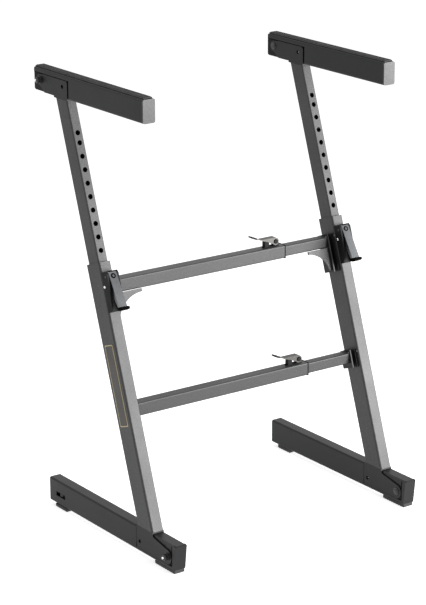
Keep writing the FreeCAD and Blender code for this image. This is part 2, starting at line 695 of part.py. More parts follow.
def pivot_bolt(label, y, z, side):
    """A bolt with a round head towards the middle of the stand, and its nut on the outer side."""
    thread = "(pivot_bore / 2 - 0.3)"
    bolt = revolve_x(f"{label}_shank", [
        (f"{-side} * ({PLATE_OUT} + head_rise)", "0"),
        (f"{-side} * ({PLATE_OUT} + head_rise)", "pivot_bore / 2"),
        (f"{-side} * {PLATE_OUT}", "nut_across / 2"),
        (f"{-side} * {PLATE_OUT}", "pivot_bore / 2"),
        (f"{side} * {PLATE_OUT}", "pivot_bore / 2"),
        (f"{side} * {PLATE_OUT}", thread),
        (f"{side} * ({PLATE_OUT} + nut_thick + bolt_tip)", thread),
        (f"{side} * ({PLATE_OUT} + nut_thick + bolt_tip)", "0"),
    ], alone=False)
    nut = new_body(f"{label}_nut", alone=False)
    sketch = new_sketch(nut, "YZ_Plane", f"{side} * ({PLATE_OUT} + nut_thick / 2)")
    corner = "nut_across / 2 / cos(30)"
    polygon(sketch, [(f"{corner} * cos({60 * i})", f"{corner} * sin({60 * i})") for i in range(6)])
    circle(sketch, "0", "0", f"{thread} + running")
    pad(nut, sketch, "nut_thick", both=True)
    for piece in (bolt, nut):
        place(piece, side_x(side), y, z)
    new_group(label, [bolt, nut])


def arm_pad(side):
    body = tube(
        f"{leg_names(side)}_arm_pad", "XY_Plane", "padding_width", "arm_rear - arm_front - 2 * cap_thick",
        "3", None, "arm_padding",
    )
    place(body, side_x(side), "(arm_rear + arm_front) / 2", ARM_TOP)


def end_cap(label, wide, tall, side, y, z, forward):
    """A moulded cap with a plug that goes into the end of a tube."""
    body = new_body(label)
    sketch = new_sketch(body, "XZ_Plane")
    rounded_rectangle(sketch, wide, tall, "tube_corner")
    pad(body, sketch, "cap_thick")
    sketch = new_sketch(body, "XZ_Plane", "-cap_plug")
    rounded_rectangle(
        sketch, f"{wide} - 2 * sheet_wall - 2 * slip", f"{tall} - 2 * sheet_wall - 2 * slip",
        "tube_corner - sheet_wall",
    )
    pad(body, sketch, "cap_plug")
    turn = "0" if forward else "180"
    body.setExpression(
        "Placement", named(f"placement(vector({side_x(side)}; {y}; {z}); rotation(vector(0; 0; 1); {turn}))")
    )


# The foot and its fold: two plates under the outer leg hold the toe block in the foot.
def foot_bracket(side):
    rear = f"({FOOT_PIVOT_Y} + foot_plate_reach)"
    low = f"({FOOT_PIVOT_Z} - foot_plate_drop)"
    top = f"({FOOT_TOP} + web_thick)"
    shift = "(web_thick * tan(lean))"
    body = plate(
        f"{leg_names(side)}_foot_bracket",
        [
            (FOOT_PIVOT_Y, f"{FOOT_PIVOT_Z} + foot_pivot_round"),
            (f"leg_middle - {LEG_FOOT_HALF} - 1", f"{FOOT_TOP} - 6"),
            (f"leg_middle - {LEG_FOOT_HALF} + {shift}", top),
            (f"leg_middle + {LEG_FOOT_HALF} + {shift}", top),
            (rear, f"{FOOT_TOP} - 2"),
            (rear, FOOT_PIVOT_Z),
            (f"{rear} - foot_plate_drop / 8", low),
            (FOOT_PIVOT_Y, low),
        ],
        f"2 * {PLATE_OUT}",
    )
    add_round_x(body, FOOT_PIVOT_Y, FOOT_PIVOT_Z, "foot_pivot_round", f"2 * {PLATE_OUT}")
    sketch = new_sketch(body, "YZ_Plane")
    polygon(sketch, rectangle("foot_front - 10", "-10", "foot_rear", f"{FOOT_TOP} + slip"))
    pocket(body, sketch, f"2 * {PLATE_IN}", both=True)
    bore_x(body, FOOT_PIVOT_Y, FOOT_PIVOT_Z, "pivot_bore / 2 + running")
    bore_x(body, FOOT_LOCK_Y, FOOT_PIVOT_Z, "button_bore / 2 + slip")
    place(body, side_x(side))


def foot_tube(side):
    rear = "(foot_rear - cap_thick)"
    body = tube(
        f"{leg_names(side)}_foot_tube", "XZ_Plane", "frame_width", "foot_height", "tube_corner", "sheet_wall",
        f"{rear} - {TOE_SHOULDER} - slip", f"-{rear}",
    )
    middle = "(foot_bottom + foot_height / 2)"
    low = f"({FOOT_PIVOT_Z} - foot_plate_drop - slip - {middle})"
    back = f"({FOOT_PIVOT_Y} + foot_plate_reach + heel_gap)"
    cut_sides(body, rectangle("foot_front - 10", low, back, "foot_height"), BLOCK_HALF)
    cut_x(body, rectangle("foot_front - 10", low, f"leg_middle - {LEG_FOOT_HALF} - 3", "foot_height"))
    if side < 0:
        level_middle = "(foot_rear - rear_pad_inset)"
        sketch = new_sketch(body, "XY_Plane")
        circle(sketch, "-wheel_shift", level_middle, "stud_bore / 2 + slip")
        pocket(body, sketch)
        sketch = new_sketch(body, "YZ_Plane")
        polygon(sketch, rectangle(
            f"{level_middle} - window_length / 2", f"wheel_rise - window_height / 2 - {middle}",
            f"{level_middle} + window_length / 2", f"wheel_rise + window_height / 2 - {middle}",
        ))
        pocket(body, sketch)
    place(body, side_x(side), "0", middle)


def toe_block(side):
    """The moulded toe that carries the foot's pivot and its lock button, and closes its front end."""
    low = "(foot_bottom + sheet_wall + slip)"
    rear = f"({FOOT_PIVOT_Y} + foot_plate_reach + 20)"
    inside_top = f"({FOOT_TOP} - sheet_wall - slip)"
    step = f"(leg_middle - {LEG_FOOT_HALF} - 3 - slip)"
    body = plate(
        f"{leg_names(side)}_toe_block",
        [
            ("foot_front + toe_rake", "foot_bottom"),
            (TOE_SHOULDER, "foot_bottom"),
            (TOE_SHOULDER, low),
            (rear, low),
            (rear, inside_top),
            (step, inside_top),
            (step, FOOT_TOP),
            ("foot_front + 2", FOOT_TOP),
            ("foot_front", f"{FOOT_TOP} - 2"),
        ],
        f"2 * {BLOCK_HALF}",
    )
    add_x(body, [
        ("foot_front + toe_rake", "foot_bottom"),
        (TOE_SHOULDER, "foot_bottom"),
        (TOE_SHOULDER, f"{FOOT_PIVOT_Z} + 2"),
        (f"{TOE_SHOULDER} - 6", f"{FOOT_TOP} - 1"),
        ("foot_front + 2", f"{FOOT_TOP} - 1"),
        ("foot_front", f"{FOOT_TOP} - 3"),
    ], "frame_width")
    bore_x(body, FOOT_PIVOT_Y, FOOT_PIVOT_Z, "pivot_bore / 2 + running")
    button_seat(body, FOOT_LOCK_Y, FOOT_PIVOT_Z, side)
    place(body, side_x(side))


def toe_pad(side):
    body = tube(
        f"{leg_names(side)}_toe_pad", "XY_Plane", "pad_width", "toe_pad_length", "tube_corner", None,
        "foot_bottom",
    )
    place(body, side_x(side), "foot_front + toe_rake + toe_pad_length / 2", "0")


def rear_pad(side):
    body = tube(
        f"{leg_names(side)}_rear_pad", "XY_Plane", "pad_width", "rear_pad_length", "tube_corner", None,
        "rear_pad_thick" if side < 0 else "foot_bottom",
    )
    if side < 0:
        sketch = new_sketch(body, "XY_Plane", "rear_pad_thick")
        circle(sketch, "0", "0", "stud_bore / 2")
        pad(body, sketch, "wheel_rise + wheel_thick - rear_pad_thick")
    shift = " - wheel_shift" if side < 0 else ""
    place(body, side_x(side) + shift, "foot_rear - rear_pad_inset", "0")


def levelling_wheel():
    """The knurled wheel in the left foot that screws its rear pad up and down."""
    body = new_body("levelling_wheel")
    sketch = new_sketch(body, "XY_Plane")
    circle(sketch, "0", "0", "wheel_bore / 2")
    circle(sketch, "0", "0", "stud_bore / 2 + running")
    pad(body, sketch, "wheel_thick", both=True)
    place(body, f"-{HALF} - wheel_shift", "foot_rear - rear_pad_inset", "wheel_rise")


# The crossbars: sleeves on the left frame and inner bars on the right one.
def crossbar(name, level, bracket):
    inner_face = f"({HALF} - frame_width / 2)"
    y = bar_y(level)
    sleeve = tube(
        f"{name}_sleeve", "YZ_Plane", "bar_depth", "bar_height", "bar_corner", "sheet_wall",
        f"sleeve_end + {inner_face}", f"-{inner_face}",
    )
    place(sleeve, "0", y, level)
    inner = tube(
        f"{name}_inner_bar", "YZ_Plane", f"2 * {BAR_HALF_DEPTH}",
        f"2 * {BAR_HALF_HEIGHT}", "bar_corner", "sheet_wall",
        f"{inner_face} - bracket_reach - bar_start", "bar_start",
    )
    place(inner, "0", y, level)
    holder = new_body(f"{name}_bar_bracket")
    along = f"(({level} - {FOOT_TOP}) / cos(lean))"
    sketch = new_sketch(holder, "XY_Plane", f"{along} + bracket_rise - {bracket}")
    rear = f"({BAR_HALF_DEPTH} * cos(lean) + {BAR_HALF_HEIGHT} * sin(lean) + bracket_wall)"
    leg_face = "(-frame_width / 2)"
    bar_face = f"({leg_face} - bracket_reach)"
    polygon(sketch, [
        (leg_face, f"-{rear}"),
        (leg_face, rear),
        (bar_face, rear),
        (bar_face, f"-{rear}"),
        (f"{bar_face} + bracket_wall", f"-{rear}"),
        (f"{bar_face} + bracket_wall", f"{rear} - bracket_wall"),
        (f"{leg_face} - bracket_wall", f"{rear} - bracket_wall"),
        (f"{leg_face} - bracket_wall", f"-{rear}"),
    ])
    pad(holder, sketch, bracket)
    place_on_leg(holder, 1)


def gusset(label, side):
    """A plate under the front edge of the upper crossbar, in line with the leg, with a round sweep to it."""
    half_depth = BAR_HALF_DEPTH if side > 0 else "(bar_depth / 2)"
    half_height = BAR_HALF_HEIGHT if side > 0 else "(bar_height / 2)"
    face = "(frame_width / 2 + bracket_reach)" if side > 0 else "(frame_width / 2)"
    reach = "(gusset_reach - bracket_reach)" if side > 0 else "gusset_reach"
    along = f"((upper_bar - {FOOT_TOP}) / cos(lean))"
    top = f"({along} - {half_depth} * sin(lean) - {half_height} * cos(lean))"
    span = f"({reach} - gusset_foot)"
    drop = "(gusset_drop - gusset_nose)"
    sweep = f"(({span} ^ 2 + {drop} ^ 2) / 2 / {drop})"
    tip_x = f"{-side} * ({face} + {reach})"
    corners = [
        (f"{-side} * ({face} + gusset_foot)", f"{top} - gusset_drop"),
        (f"{-side} * {face}", f"{top} - gusset_drop"),
        (f"{-side} * {face}", top),
        (tip_x, top),
        (tip_x, f"{top} - gusset_nose"),
    ]
    body = new_body(label)
    sketch = new_sketch(body, "XZ_Plane", f"{half_depth} * cos(lean) - {half_height} * sin(lean)")
    open_outline(sketch, corners)
    centre = FreeCAD.Vector(size(named(tip_x)), size(named(f"{top} - gusset_nose - {sweep}")), 0)
    rise = math.asin(1 - size(named(drop)) / size(named(sweep)))
    ends = (rise, math.pi / 2) if side > 0 else (math.pi / 2, math.pi - rise)
    ring = Part.Circle(centre, FreeCAD.Vector(0, 0, 1), size(named(sweep)))
    arc = sketch.addGeometry(Part.ArcOfCircle(ring, *ends), False)
    last = len(corners) - 2
    sketch.addConstraint(Sketcher.Constraint("Coincident", arc, 1 if side > 0 else 2, 0, 1))
    sketch.addConstraint(Sketcher.Constraint("Coincident", arc, 2 if side > 0 else 1, last, 2))
    hold(sketch, "DistanceX", -1, 1, arc, 3, tip_x)
    pad(body, sketch, "gusset_thick")
    place_on_leg(body, side)


# The clamps that hold the inner bars in the sleeves.
def clamp(name, level):
    y = bar_y(level)
    top = "(bar_height / 2)"
    pivot = f"({top} + clamp_rise)"
    inside = "(clamp_width - 2 * clamp_sheet)"
    core = f"({inside} - 2 * side_gap)"
    post = "(clamp_place - post_step)"

    saddle = new_body(f"{name}_clamp_saddle")
    solids = (
        rectangle(
            f"{post} - post_size / 2 - saddle_wall", top, "clamp_place + 1.5 * clamp_cam", f"{top} + saddle_wall"
        ),
        rectangle(f"{post} - post_size / 2", top, f"{post} + post_size / 2", f"{top} + post_rise"),
        rectangle("clamp_place - clamp_cam / 2", top, "clamp_place + clamp_cam / 2", pivot),
    )
    for outline in solids:
        sketch = new_sketch(saddle, "XZ_Plane")
        polygon(sketch, outline)
        pad(saddle, sketch, core, both=True)
    sketch = new_sketch(saddle, "XZ_Plane")
    circle(sketch, "clamp_place", pivot, "clamp_cam")
    pad(saddle, sketch, core, both=True)
    sketch = new_sketch(saddle, "XZ_Plane")
    circle(sketch, "clamp_place", pivot, "clamp_pin / 2 + running")
    pocket(saddle, sketch, both=True)
    place(saddle, "0", y, level)

    lever = new_body(f"{name}_clamp_lever")
    round_end = "(clamp_cam + 1.5)"
    web = f"({pivot} + clamp_cam + 0.5)"
    tip = "(clamp_place - clamp_reach)"
    handle = "(clamp_place - clamp_reach * 0.6)"
    sketch = new_sketch(lever, "XZ_Plane")
    circle(sketch, "clamp_place", pivot, round_end)
    pad(lever, sketch, "clamp_width", both=True)
    sketch = new_sketch(lever, "XZ_Plane")
    polygon(sketch, [
        ("clamp_place", f"{pivot} - {round_end}"),
        ("clamp_place", f"{web} + clamp_sheet"),
        (handle, f"{web} + clamp_sheet"),
        (tip, f"{pivot} + clamp_lift"),
        (tip, f"{pivot} + clamp_lift - clamp_sheet"),
        (handle, web),
        (post, f"{pivot} + clamp_sheet"),
    ])
    pad(lever, sketch, "clamp_width", both=True)
    sketch = new_sketch(lever, "XZ_Plane")
    polygon(sketch, [
        ("clamp_place + 2 * clamp_cam", f"{pivot} - 2 * clamp_cam"),
        ("clamp_place + 2 * clamp_cam", f"{pivot} + 2 * clamp_cam"),
        ("clamp_place + clamp_sheet", f"{pivot} + 2 * clamp_cam"),
        ("clamp_place + clamp_sheet", web),
        (handle, web),
        (handle, f"{pivot} - 2 * clamp_cam"),
    ])
    pocket(lever, sketch, inside, both=True)
    sketch = new_sketch(lever, "XZ_Plane")
    circle(sketch, "clamp_place", pivot, "clamp_pin / 2 + running")
    pocket(lever, sketch, both=True)
    place(lever, "0", y, level)


def clamp_pins():
    """The two pivot pins of the clamp levers."""
    pins = []
    for level in ("upper_bar", "lower_bar"):
        pin = doc.addObject("Part::Cylinder", f"{level}_clamp_pin")
        pin.setExpression("Radius", named("clamp_pin / 2"))
        pin.setExpression("Height", named("clamp_width + clamp_sheet"))
        half = "((clamp_width + clamp_sheet) / 2)"
        place(pin, "clamp_place", f"{bar_y(level)} + {half}", f"{level} + bar_height / 2 + clamp_rise", "90")
        pins.append(pin)
    new_group("clamp_pins", pins)


for side in (-1, 1):
    name = leg_names(side)
    outer_leg(side)
    leg_bush(side)
    inner_leg(side)
    lock_housing(side)
    lock_lever(side)
    lever_grip(side)
    lever_pivot(side)
    lock_pin(side)
    arm_bracket(side)
    arm_tube(side)
    arm_block(side)
    arm_pad(side)
    end_cap(
        f"{name}_arm_cap", "frame_width", "arm_height", side, "arm_front + cap_thick",
        "arm_bottom + arm_height / 2", True,
    )
    pivot_bolt(f"{name}_arm_bolt", ARM_PIVOT_Y, ARM_PIVOT_Z, side)
    lock_button(f"{name}_arm_button", ARM_LOCK_Y, ARM_PIVOT_Z, side)
    foot_bracket(side)
    foot_tube(side)
    toe_block(side)
    toe_pad(side)
    rear_pad(side)
    end_cap(
        f"{name}_foot_cap", "frame_width", "foot_height", side, "foot_rear - cap_thick",
        "foot_bottom + foot_height / 2", False,
    )
    pivot_bolt(f"{name}_foot_bolt", FOOT_PIVOT_Y, FOOT_PIVOT_Z, side)
    lock_button(f"{name}_foot_button", FOOT_LOCK_Y, FOOT_PIVOT_Z, side)
levelling_wheel()
crossbar("upper", "upper_bar", "upper_bracket")
crossbar("lower", "lower_bar", "lower_bracket")
gusset("left_gusset", -1)
gusset("right_gusset", 1)
clamp("upper", "upper_bar")
clamp("lower", "lower_bar")
clamp_pins()

doc.recompute()
for obj in doc.Objects:
    if "Invalid" in obj.State or "Error" in obj.State:
        raise RuntimeError(f"{obj.Label} failed: {obj.State}")
for obj in parts:
    if obj.Shape.isNull() or not obj.Shape.isValid():
        raise RuntimeError(f"{obj.Label} has no valid shape")

os.makedirs("parts", exist_ok=True)
for obj in parts:
    obj.Shape.exportStep(f"parts/{obj.Label}.step")
print(len(parts), "pieces")
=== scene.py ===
"""Dresses the folding keyboard stand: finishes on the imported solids, small fittings, stage and camera.

Metres, in the stand's own frame: +X from the left frame to the right one, -Y to the front, +Z up.
"""

import json
import math
from collections import namedtuple

import bmesh
import bpy
from bpy.props import FloatProperty, FloatVectorProperty, PointerProperty
from mathutils import Matrix, Vector


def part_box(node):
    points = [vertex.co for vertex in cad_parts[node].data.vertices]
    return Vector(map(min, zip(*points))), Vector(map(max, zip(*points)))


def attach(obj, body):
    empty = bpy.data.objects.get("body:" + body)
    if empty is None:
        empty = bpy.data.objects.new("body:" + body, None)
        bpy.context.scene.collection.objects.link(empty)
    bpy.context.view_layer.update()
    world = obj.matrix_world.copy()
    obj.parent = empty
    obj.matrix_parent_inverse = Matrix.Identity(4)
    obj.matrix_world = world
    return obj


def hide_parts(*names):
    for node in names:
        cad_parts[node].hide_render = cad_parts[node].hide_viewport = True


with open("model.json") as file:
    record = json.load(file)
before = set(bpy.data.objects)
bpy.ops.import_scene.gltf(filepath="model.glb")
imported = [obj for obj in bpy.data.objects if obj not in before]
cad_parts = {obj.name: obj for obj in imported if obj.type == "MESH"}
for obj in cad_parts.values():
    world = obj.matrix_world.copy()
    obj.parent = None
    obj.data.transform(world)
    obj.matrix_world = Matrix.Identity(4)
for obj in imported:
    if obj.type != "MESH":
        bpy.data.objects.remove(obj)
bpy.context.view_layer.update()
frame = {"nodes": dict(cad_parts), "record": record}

bl_info = {
    "name": "Keyboard stand",
    "version": (1, 0, 0),
    "blender": (4, 5, 0),
    "location": "View3D > Sidebar > Stand",
    "description": "Finishes and fittings of a folding keyboard stand",
    "category": "Object",
}

SIDES = {"left": -1, "right": 1}

# Places in the leg's own frame.
LEVER_RIVET = Vector((0, -0.0486, 0.531))
HOUSING_SCREW = (-0.030, 0.511)

# Turned fittings: sides round, radius at the base and at the tip, start and end above the face, and bevel.
Turned = namedtuple("Turned", "sides radius tip start end bevel")
NUT_WASHER = Turned(32, 0.0085, 0.0085, 0.0, 0.0016, 0.0003)
NUT = Turned(6, 0.0075, 0.0075, 0.0016, 0.0080, 0.0007)
NUT_COLLAR = Turned(24, 0.0062, 0.0050, 0.0079, 0.0097, 0.0004)
THREAD_TIP = Turned(20, 0.0027, 0.0024, 0.0096, 0.0120, 0.0006)
HEAD_WASHER = Turned(32, 0.0085, 0.0085, 0.0, 0.0012, 0.0003)
BOLT_HEAD = Turned(24, 0.0065, 0.0040, 0.0010, 0.0046, 0.0008)
LEVER_WASHER = Turned(28, 0.0056, 0.0056, -0.0002, 0.0008, 0.0003)
RIVET_HEAD = Turned(20, 0.0030, 0.0018, 0.0006, 0.0018, 0.0003)
HOUSING_SCREW_HEAD = Turned(20, 0.0032, 0.00224, -0.0004, 0.0012, 0.0003)
BRACKET_SCREW_HEAD = Turned(16, 0.0024, 0.0018, -0.0002, 0.0012, 0.0003)
CLAMP_CAP = Turned(28, 0.0054, 0.0048, 0.0004, 0.0022, 0.0004)
STUD_THREAD = Turned(24, 0.0043, 0.0041, -0.00065, 0.00065, 0)

# Radii of rounded edges.
SLAB_ROUND = 0.0012
TIP_ROUND = 0.0010
RIM_ROUND = 0.0008
RIB_ROUND = 0.0005
THIN_ROUND = 0.0004

# Edges that turn by more than these are rounded, on blocks and on turned pieces.
BLOCK_ANGLE = math.radians(30)
TURNED_ANGLE = math.radians(50)

# Counts of what repeats.
STRIP_RIBS = 5
WHEEL_TEETH = 36
STUD_TURNS = 9


def node_middle(node):
    low, high = (Vector(corner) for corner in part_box(node))
    return (low + high) / 2


def node_low(node):
    return Vector(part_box(node)[0])


def node_high(node):
    return Vector(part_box(node)[1])


class StandFinish(bpy.types.PropertyGroup):
    paint: FloatVectorProperty(
        name="Paint", description="Colour of the powder coat on the tubes", subtype="COLOR", size=3,
        default=(0.020, 0.020, 0.0205), min=0, max=1,
    )
    dark_paint: FloatVectorProperty(
        name="Dark paint", description="Colour of the smoother coat on the arms and feet",
        subtype="COLOR", size=3, default=(0.012, 0.012, 0.013), min=0, max=1,
    )
    moulding: FloatVectorProperty(
        name="Moulding", description="Colour of the moulded blocks and caps", subtype="COLOR", size=3,
        default=(0.008, 0.008, 0.0085), min=0, max=1,
    )
    rubber: FloatVectorProperty(
        name="Rubber", description="Colour of the pads and the arm strips", subtype="COLOR", size=3,
        default=(0.022, 0.022, 0.023), min=0, max=1,
    )
    # Near-black colour of the black lever grips and washers, which also paints the shadow in the gaps round
    # the fold plates of the arms and feet.
    black_and_gap_shade: FloatVectorProperty(
        name="Seal", description="Colour of the thin seals beside the plates' gaps",
        subtype="COLOR", size=3, default=(0.0012, 0.0012, 0.0012), min=0, max=1,
    )
    steel: FloatVectorProperty(
        name="Steel", description="Colour of the plated lock levers and pins", subtype="COLOR", size=3,
        default=(0.140, 0.145, 0.150), min=0, max=1,
    )
    zinc: FloatVectorProperty(
        name="Zinc", description="Colour of the dull plating on the clamp levers",
        subtype="COLOR", size=3, default=(0.080, 0.078, 0.074), min=0, max=1,
    )
    chrome: FloatVectorProperty(
        name="Chrome", description="Colour of the lock buttons", subtype="COLOR", size=3,
        default=(0.80, 0.80, 0.80), min=0, max=1,
    )
    black_steel: FloatVectorProperty(
        name="Black steel", description="Colour of the pivot bolts and nuts", subtype="COLOR", size=3,
        default=(0.045, 0.045, 0.047), min=0, max=1,
    )
    panel_edge: FloatVectorProperty(
        name="Panel edge", description="Colour of the border of the bare leg panel",
        subtype="COLOR", size=3, default=(0.62, 0.52, 0.30), min=0, max=1,
    )
    panel_field: FloatVectorProperty(
        name="Panel field", description="Colour of the field of the bare leg panel",
        subtype="COLOR", size=3, default=(0.035, 0.030, 0.024), min=0, max=1,
    )
    grit: FloatProperty(
        name="Grit", description="Depth of the powder coat's fine texture", default=0.5, min=0, max=1,
    )


class StandSizes(bpy.types.PropertyGroup):
    lean: FloatProperty(
        name="Lean", description="Lean of the legs from the vertical",
        subtype="ANGLE", default=math.radians(19),
    )
    leg_depth: FloatProperty(
        name="Leg depth", description="Depth of the outer legs", unit="LENGTH", default=0.052,
    )
    foot_web: FloatProperty(
        name="Foot web", description="Thickness of the web under the outer legs",
        unit="LENGTH", default=0.003,
    )
    panel_length: FloatProperty(
        name="Panel length", description="Length of the bare panel on the left leg",
        unit="LENGTH", default=0.173,
    )
    panel_width: FloatProperty(
        name="Panel width", description="Width of the bare panel on the left leg",
        unit="LENGTH", default=0.031,
    )
    panel_border: FloatProperty(
        name="Panel border", description="Width of the bare panel's border",
        unit="LENGTH", default=0.0024,
    )
    panel_round: FloatProperty(
        name="Panel round", description="Radius of the bare panel's corners",
        unit="LENGTH", default=0.003,
    )
    panel_place: FloatProperty(
        name="Panel place", description="Middle of the bare panel along the leg",
        unit="LENGTH", default=0.305,
    )
    weld: FloatProperty(
        name="Weld", description="Radius of the weld beads", unit="LENGTH", default=0.0022,
    )
    lever_tilt: FloatProperty(
        name="Lever tilt", description="Tilt of the lock levers' faces from the legs", subtype="ANGLE",
        default=math.radians(13.1),
    )
    clamp_slope: FloatProperty(
        name="Clamp slope", description="Slope of the clamp levers' handles", subtype="ANGLE",
        default=math.radians(21.6),
    )
    clamp_round: FloatProperty(
        name="Clamp round", description="Radius of the clamp levers' round ends",
        unit="LENGTH", default=0.008,
    )
    bracket_reach: FloatProperty(
        name="Bracket reach", description="Width of the crossbar brackets", unit="LENGTH", default=0.016,
    )
    bracket_front: FloatProperty(
        name="Bracket front", description="Front of the crossbar brackets from the leg's axis",
        unit="LENGTH", default=-0.0174,
    )
    bracket_screw_rise: FloatProperty(
        name="Bracket screw rise", description="Height of the bracket screws above the bars, along the leg",
        unit="LENGTH", default=0.009,
    )
    arm_gap: FloatProperty(
        name="Arm gap", description="Gap in front of the arms' fold plates",
        unit="LENGTH", default=0.0035,
    )
    toe_gap: FloatProperty(
        name="Toe gap", description="Gap in front of the feet's fold plates",
        unit="LENGTH", default=0.0012,
    )
    # Width of the near-black strips that paint the shadow in the gaps in front of and above the fold
    # plates.
    gap_shade_width: FloatProperty(
        name="Gap shade width", description="Width of the seals beside the plates' gaps", unit="LENGTH",
        default=0.0020,
    )
    plate_slip: FloatProperty(
        name="Plate slip", description="Gap above the arms' fold plates", unit="LENGTH", default=0.0003,
    )
    tube_round: FloatProperty(
        name="Tube round", description="Radius of the tubes' edges", unit="LENGTH", default=0.003,
    )
    tread: FloatProperty(
        name="Tread", description="Depth of the treads under the pads", unit="LENGTH", default=0.0013,
    )
    pad_thick: FloatProperty(
        name="Pad thickness", description="Thickness of the levelling pad",
        unit="LENGTH", default=0.0084,
    )


class StandStage(bpy.types.PropertyGroup):
    focal: FloatProperty(
        name="Focal length", description="Camera lens on a 36 mm high sensor",
        default=139.5, min=10, max=400,
    )
    azimuth: FloatProperty(
        name="Azimuth", description="Turn of the camera about the stand from its front", subtype="ANGLE",
        default=math.radians(-35.44),
    )
    elevation: FloatProperty(
        name="Elevation", description="Angle of the camera above the floor", subtype="ANGLE",
        default=math.radians(17.34),
    )
    roll: FloatProperty(
        name="Roll", description="Roll of the camera", subtype="ANGLE", default=math.radians(-0.22),
    )
    eye: FloatVectorProperty(
        name="Eye", description="Place of the camera", subtype="TRANSLATION", size=3,
        default=(-2.8126, -3.8940, 1.9633),
    )
    key: FloatProperty(
        name="Key light", description="Power of the large light at the front right",
        unit="POWER", default=250,
    )
    fill: FloatProperty(
        name="Fill light", description="Power of the light at the left", unit="POWER", default=5,
    )
    top: FloatProperty(
        name="Top light", description="Power of the light overhead", unit="POWER", default=30,
    )
    floor_tone: FloatProperty(
        name="Floor tone", description="Grey of the pale floor", default=0.86, min=0, max=1,
    )
    floor_glow: FloatProperty(
        name="Floor glow", description="Lift of the floor towards white, as seen",
        default=0.72, min=0, max=1,
    )
    world: FloatProperty(
        name="World", description="Strength of the light from all round", default=0.32, min=0, max=2,
    )


def finish():
    return bpy.context.scene.stand_finish


def sizes():
    return bpy.context.scene.stand_sizes


def leg_frame(side):
    """The leg's own frame: the foot's top on the leg's axis, with Z up the leg."""
    size = sizes()
    leg = f"{side}_outer_leg"
    low = node_low(leg)
    half_depth = size.leg_depth / math.cos(size.lean) / 2
    y = low.y + half_depth - size.foot_web * math.tan(size.lean)
    place = Vector((node_middle(leg).x, y, low.z - size.foot_web))
    return Matrix.Translation(place) @ Matrix.Rotation(-size.lean, 4, "X")


# Shader node groups shared by the finishes.
def new_group(name, inputs, outputs):
    group = bpy.data.node_groups.new(name, "ShaderNodeTree")
    for socket, kind, default in inputs:
        made = group.interface.new_socket(socket, in_out="INPUT", socket_type=kind)
        if default is not None:
            made.default_value = default
    for socket, kind in outputs:
        group.interface.new_socket(socket, in_out="OUTPUT", socket_type=kind)
    return group, group.nodes.new("NodeGroupInput"), group.nodes.new("NodeGroupOutput")


def link(tree, start, end):
    tree.links.new(start, end)


def fine_grain_group():
    """Fine grains over slow cloudiness, for painted, moulded and rubber surfaces."""
    group, source, result = new_group(
        "Fine grain",
        [
            ("Vector", "NodeSocketVector", None),
            ("Grain", "NodeSocketFloat", 900.0),
            ("Cloud", "NodeSocketFloat", 14.0),
        ],
        [("Height", "NodeSocketFloat"), ("Speckle", "NodeSocketFloat"), ("Cloudiness", "NodeSocketFloat")],
    )
    grain = group.nodes.new("ShaderNodeTexNoise")
    grain.inputs["Detail"].default_value = 3
    grain.inputs["Roughness"].default_value = 0.6
    link(group, source.outputs["Vector"], grain.inputs["Vector"])
    link(group, source.outputs["Grain"], grain.inputs["Scale"])
    spread = group.nodes.new("ShaderNodeMapRange")
    spread.inputs["From Min"].default_value = 0.35
    spread.inputs["From Max"].default_value = 0.65
    link(group, grain.outputs["Fac"], spread.inputs["Value"])
    cloud = group.nodes.new("ShaderNodeTexNoise")
    cloud.inputs["Detail"].default_value = 4
    link(group, source.outputs["Vector"], cloud.inputs["Vector"])
    link(group, source.outputs["Cloud"], cloud.inputs["Scale"])
    link(group, grain.outputs["Fac"], result.inputs["Height"])
    link(group, spread.outputs["Result"], result.inputs["Speckle"])
    link(group, cloud.outputs["Fac"], result.inputs["Cloudiness"])
    return group


def tint_group():
    """A colour lifted and lowered by a mask about its middle value."""
    group, source, result = new_group(
        "Tint",
        [
            ("Colour", "NodeSocketColor", None),
            ("Mask", "NodeSocketFloat", 0.5),
            ("Spread", "NodeSocketFloat", 0.2),
        ],
        [("Colour", "NodeSocketColor")],
    )
    offset = group.nodes.new("ShaderNodeMath")
    offset.operation = "SUBTRACT"
    offset.inputs[1].default_value = 0.5
    link(group, source.outputs["Mask"], offset.inputs[0])
    factor = group.nodes.new("ShaderNodeMath")
    factor.operation = "MULTIPLY_ADD"
    factor.inputs[2].default_value = 1.0
    link(group, offset.outputs["Value"], factor.inputs[0])
    link(group, source.outputs["Spread"], factor.inputs[1])
    scale = group.nodes.new("ShaderNodeVectorMath")
    scale.operation = "SCALE"
    link(group, source.outputs["Colour"], scale.inputs[0])
    link(group, factor.outputs["Value"], scale.inputs["Scale"])
    link(group, scale.outputs["Vector"], result.inputs["Colour"])
    return group


GROUPS = {}


def shared_group(name, build):
    if name not in GROUPS:
        GROUPS[name] = build()
    return GROUPS[name]


def place_group(tree, name, build):
    node = tree.nodes.new("ShaderNodeGroup")
    node.node_tree = shared_group(name, build)
    return node


def new_material(name, roughness, metallic=0.0):
    material = bpy.data.materials.new(name)
    material.use_nodes = True
    shader = material.node_tree.nodes["Principled BSDF"]
    shader.inputs["Roughness"].default_value = roughness
    shader.inputs["Metallic"].default_value = metallic
    return material, material.node_tree, shader


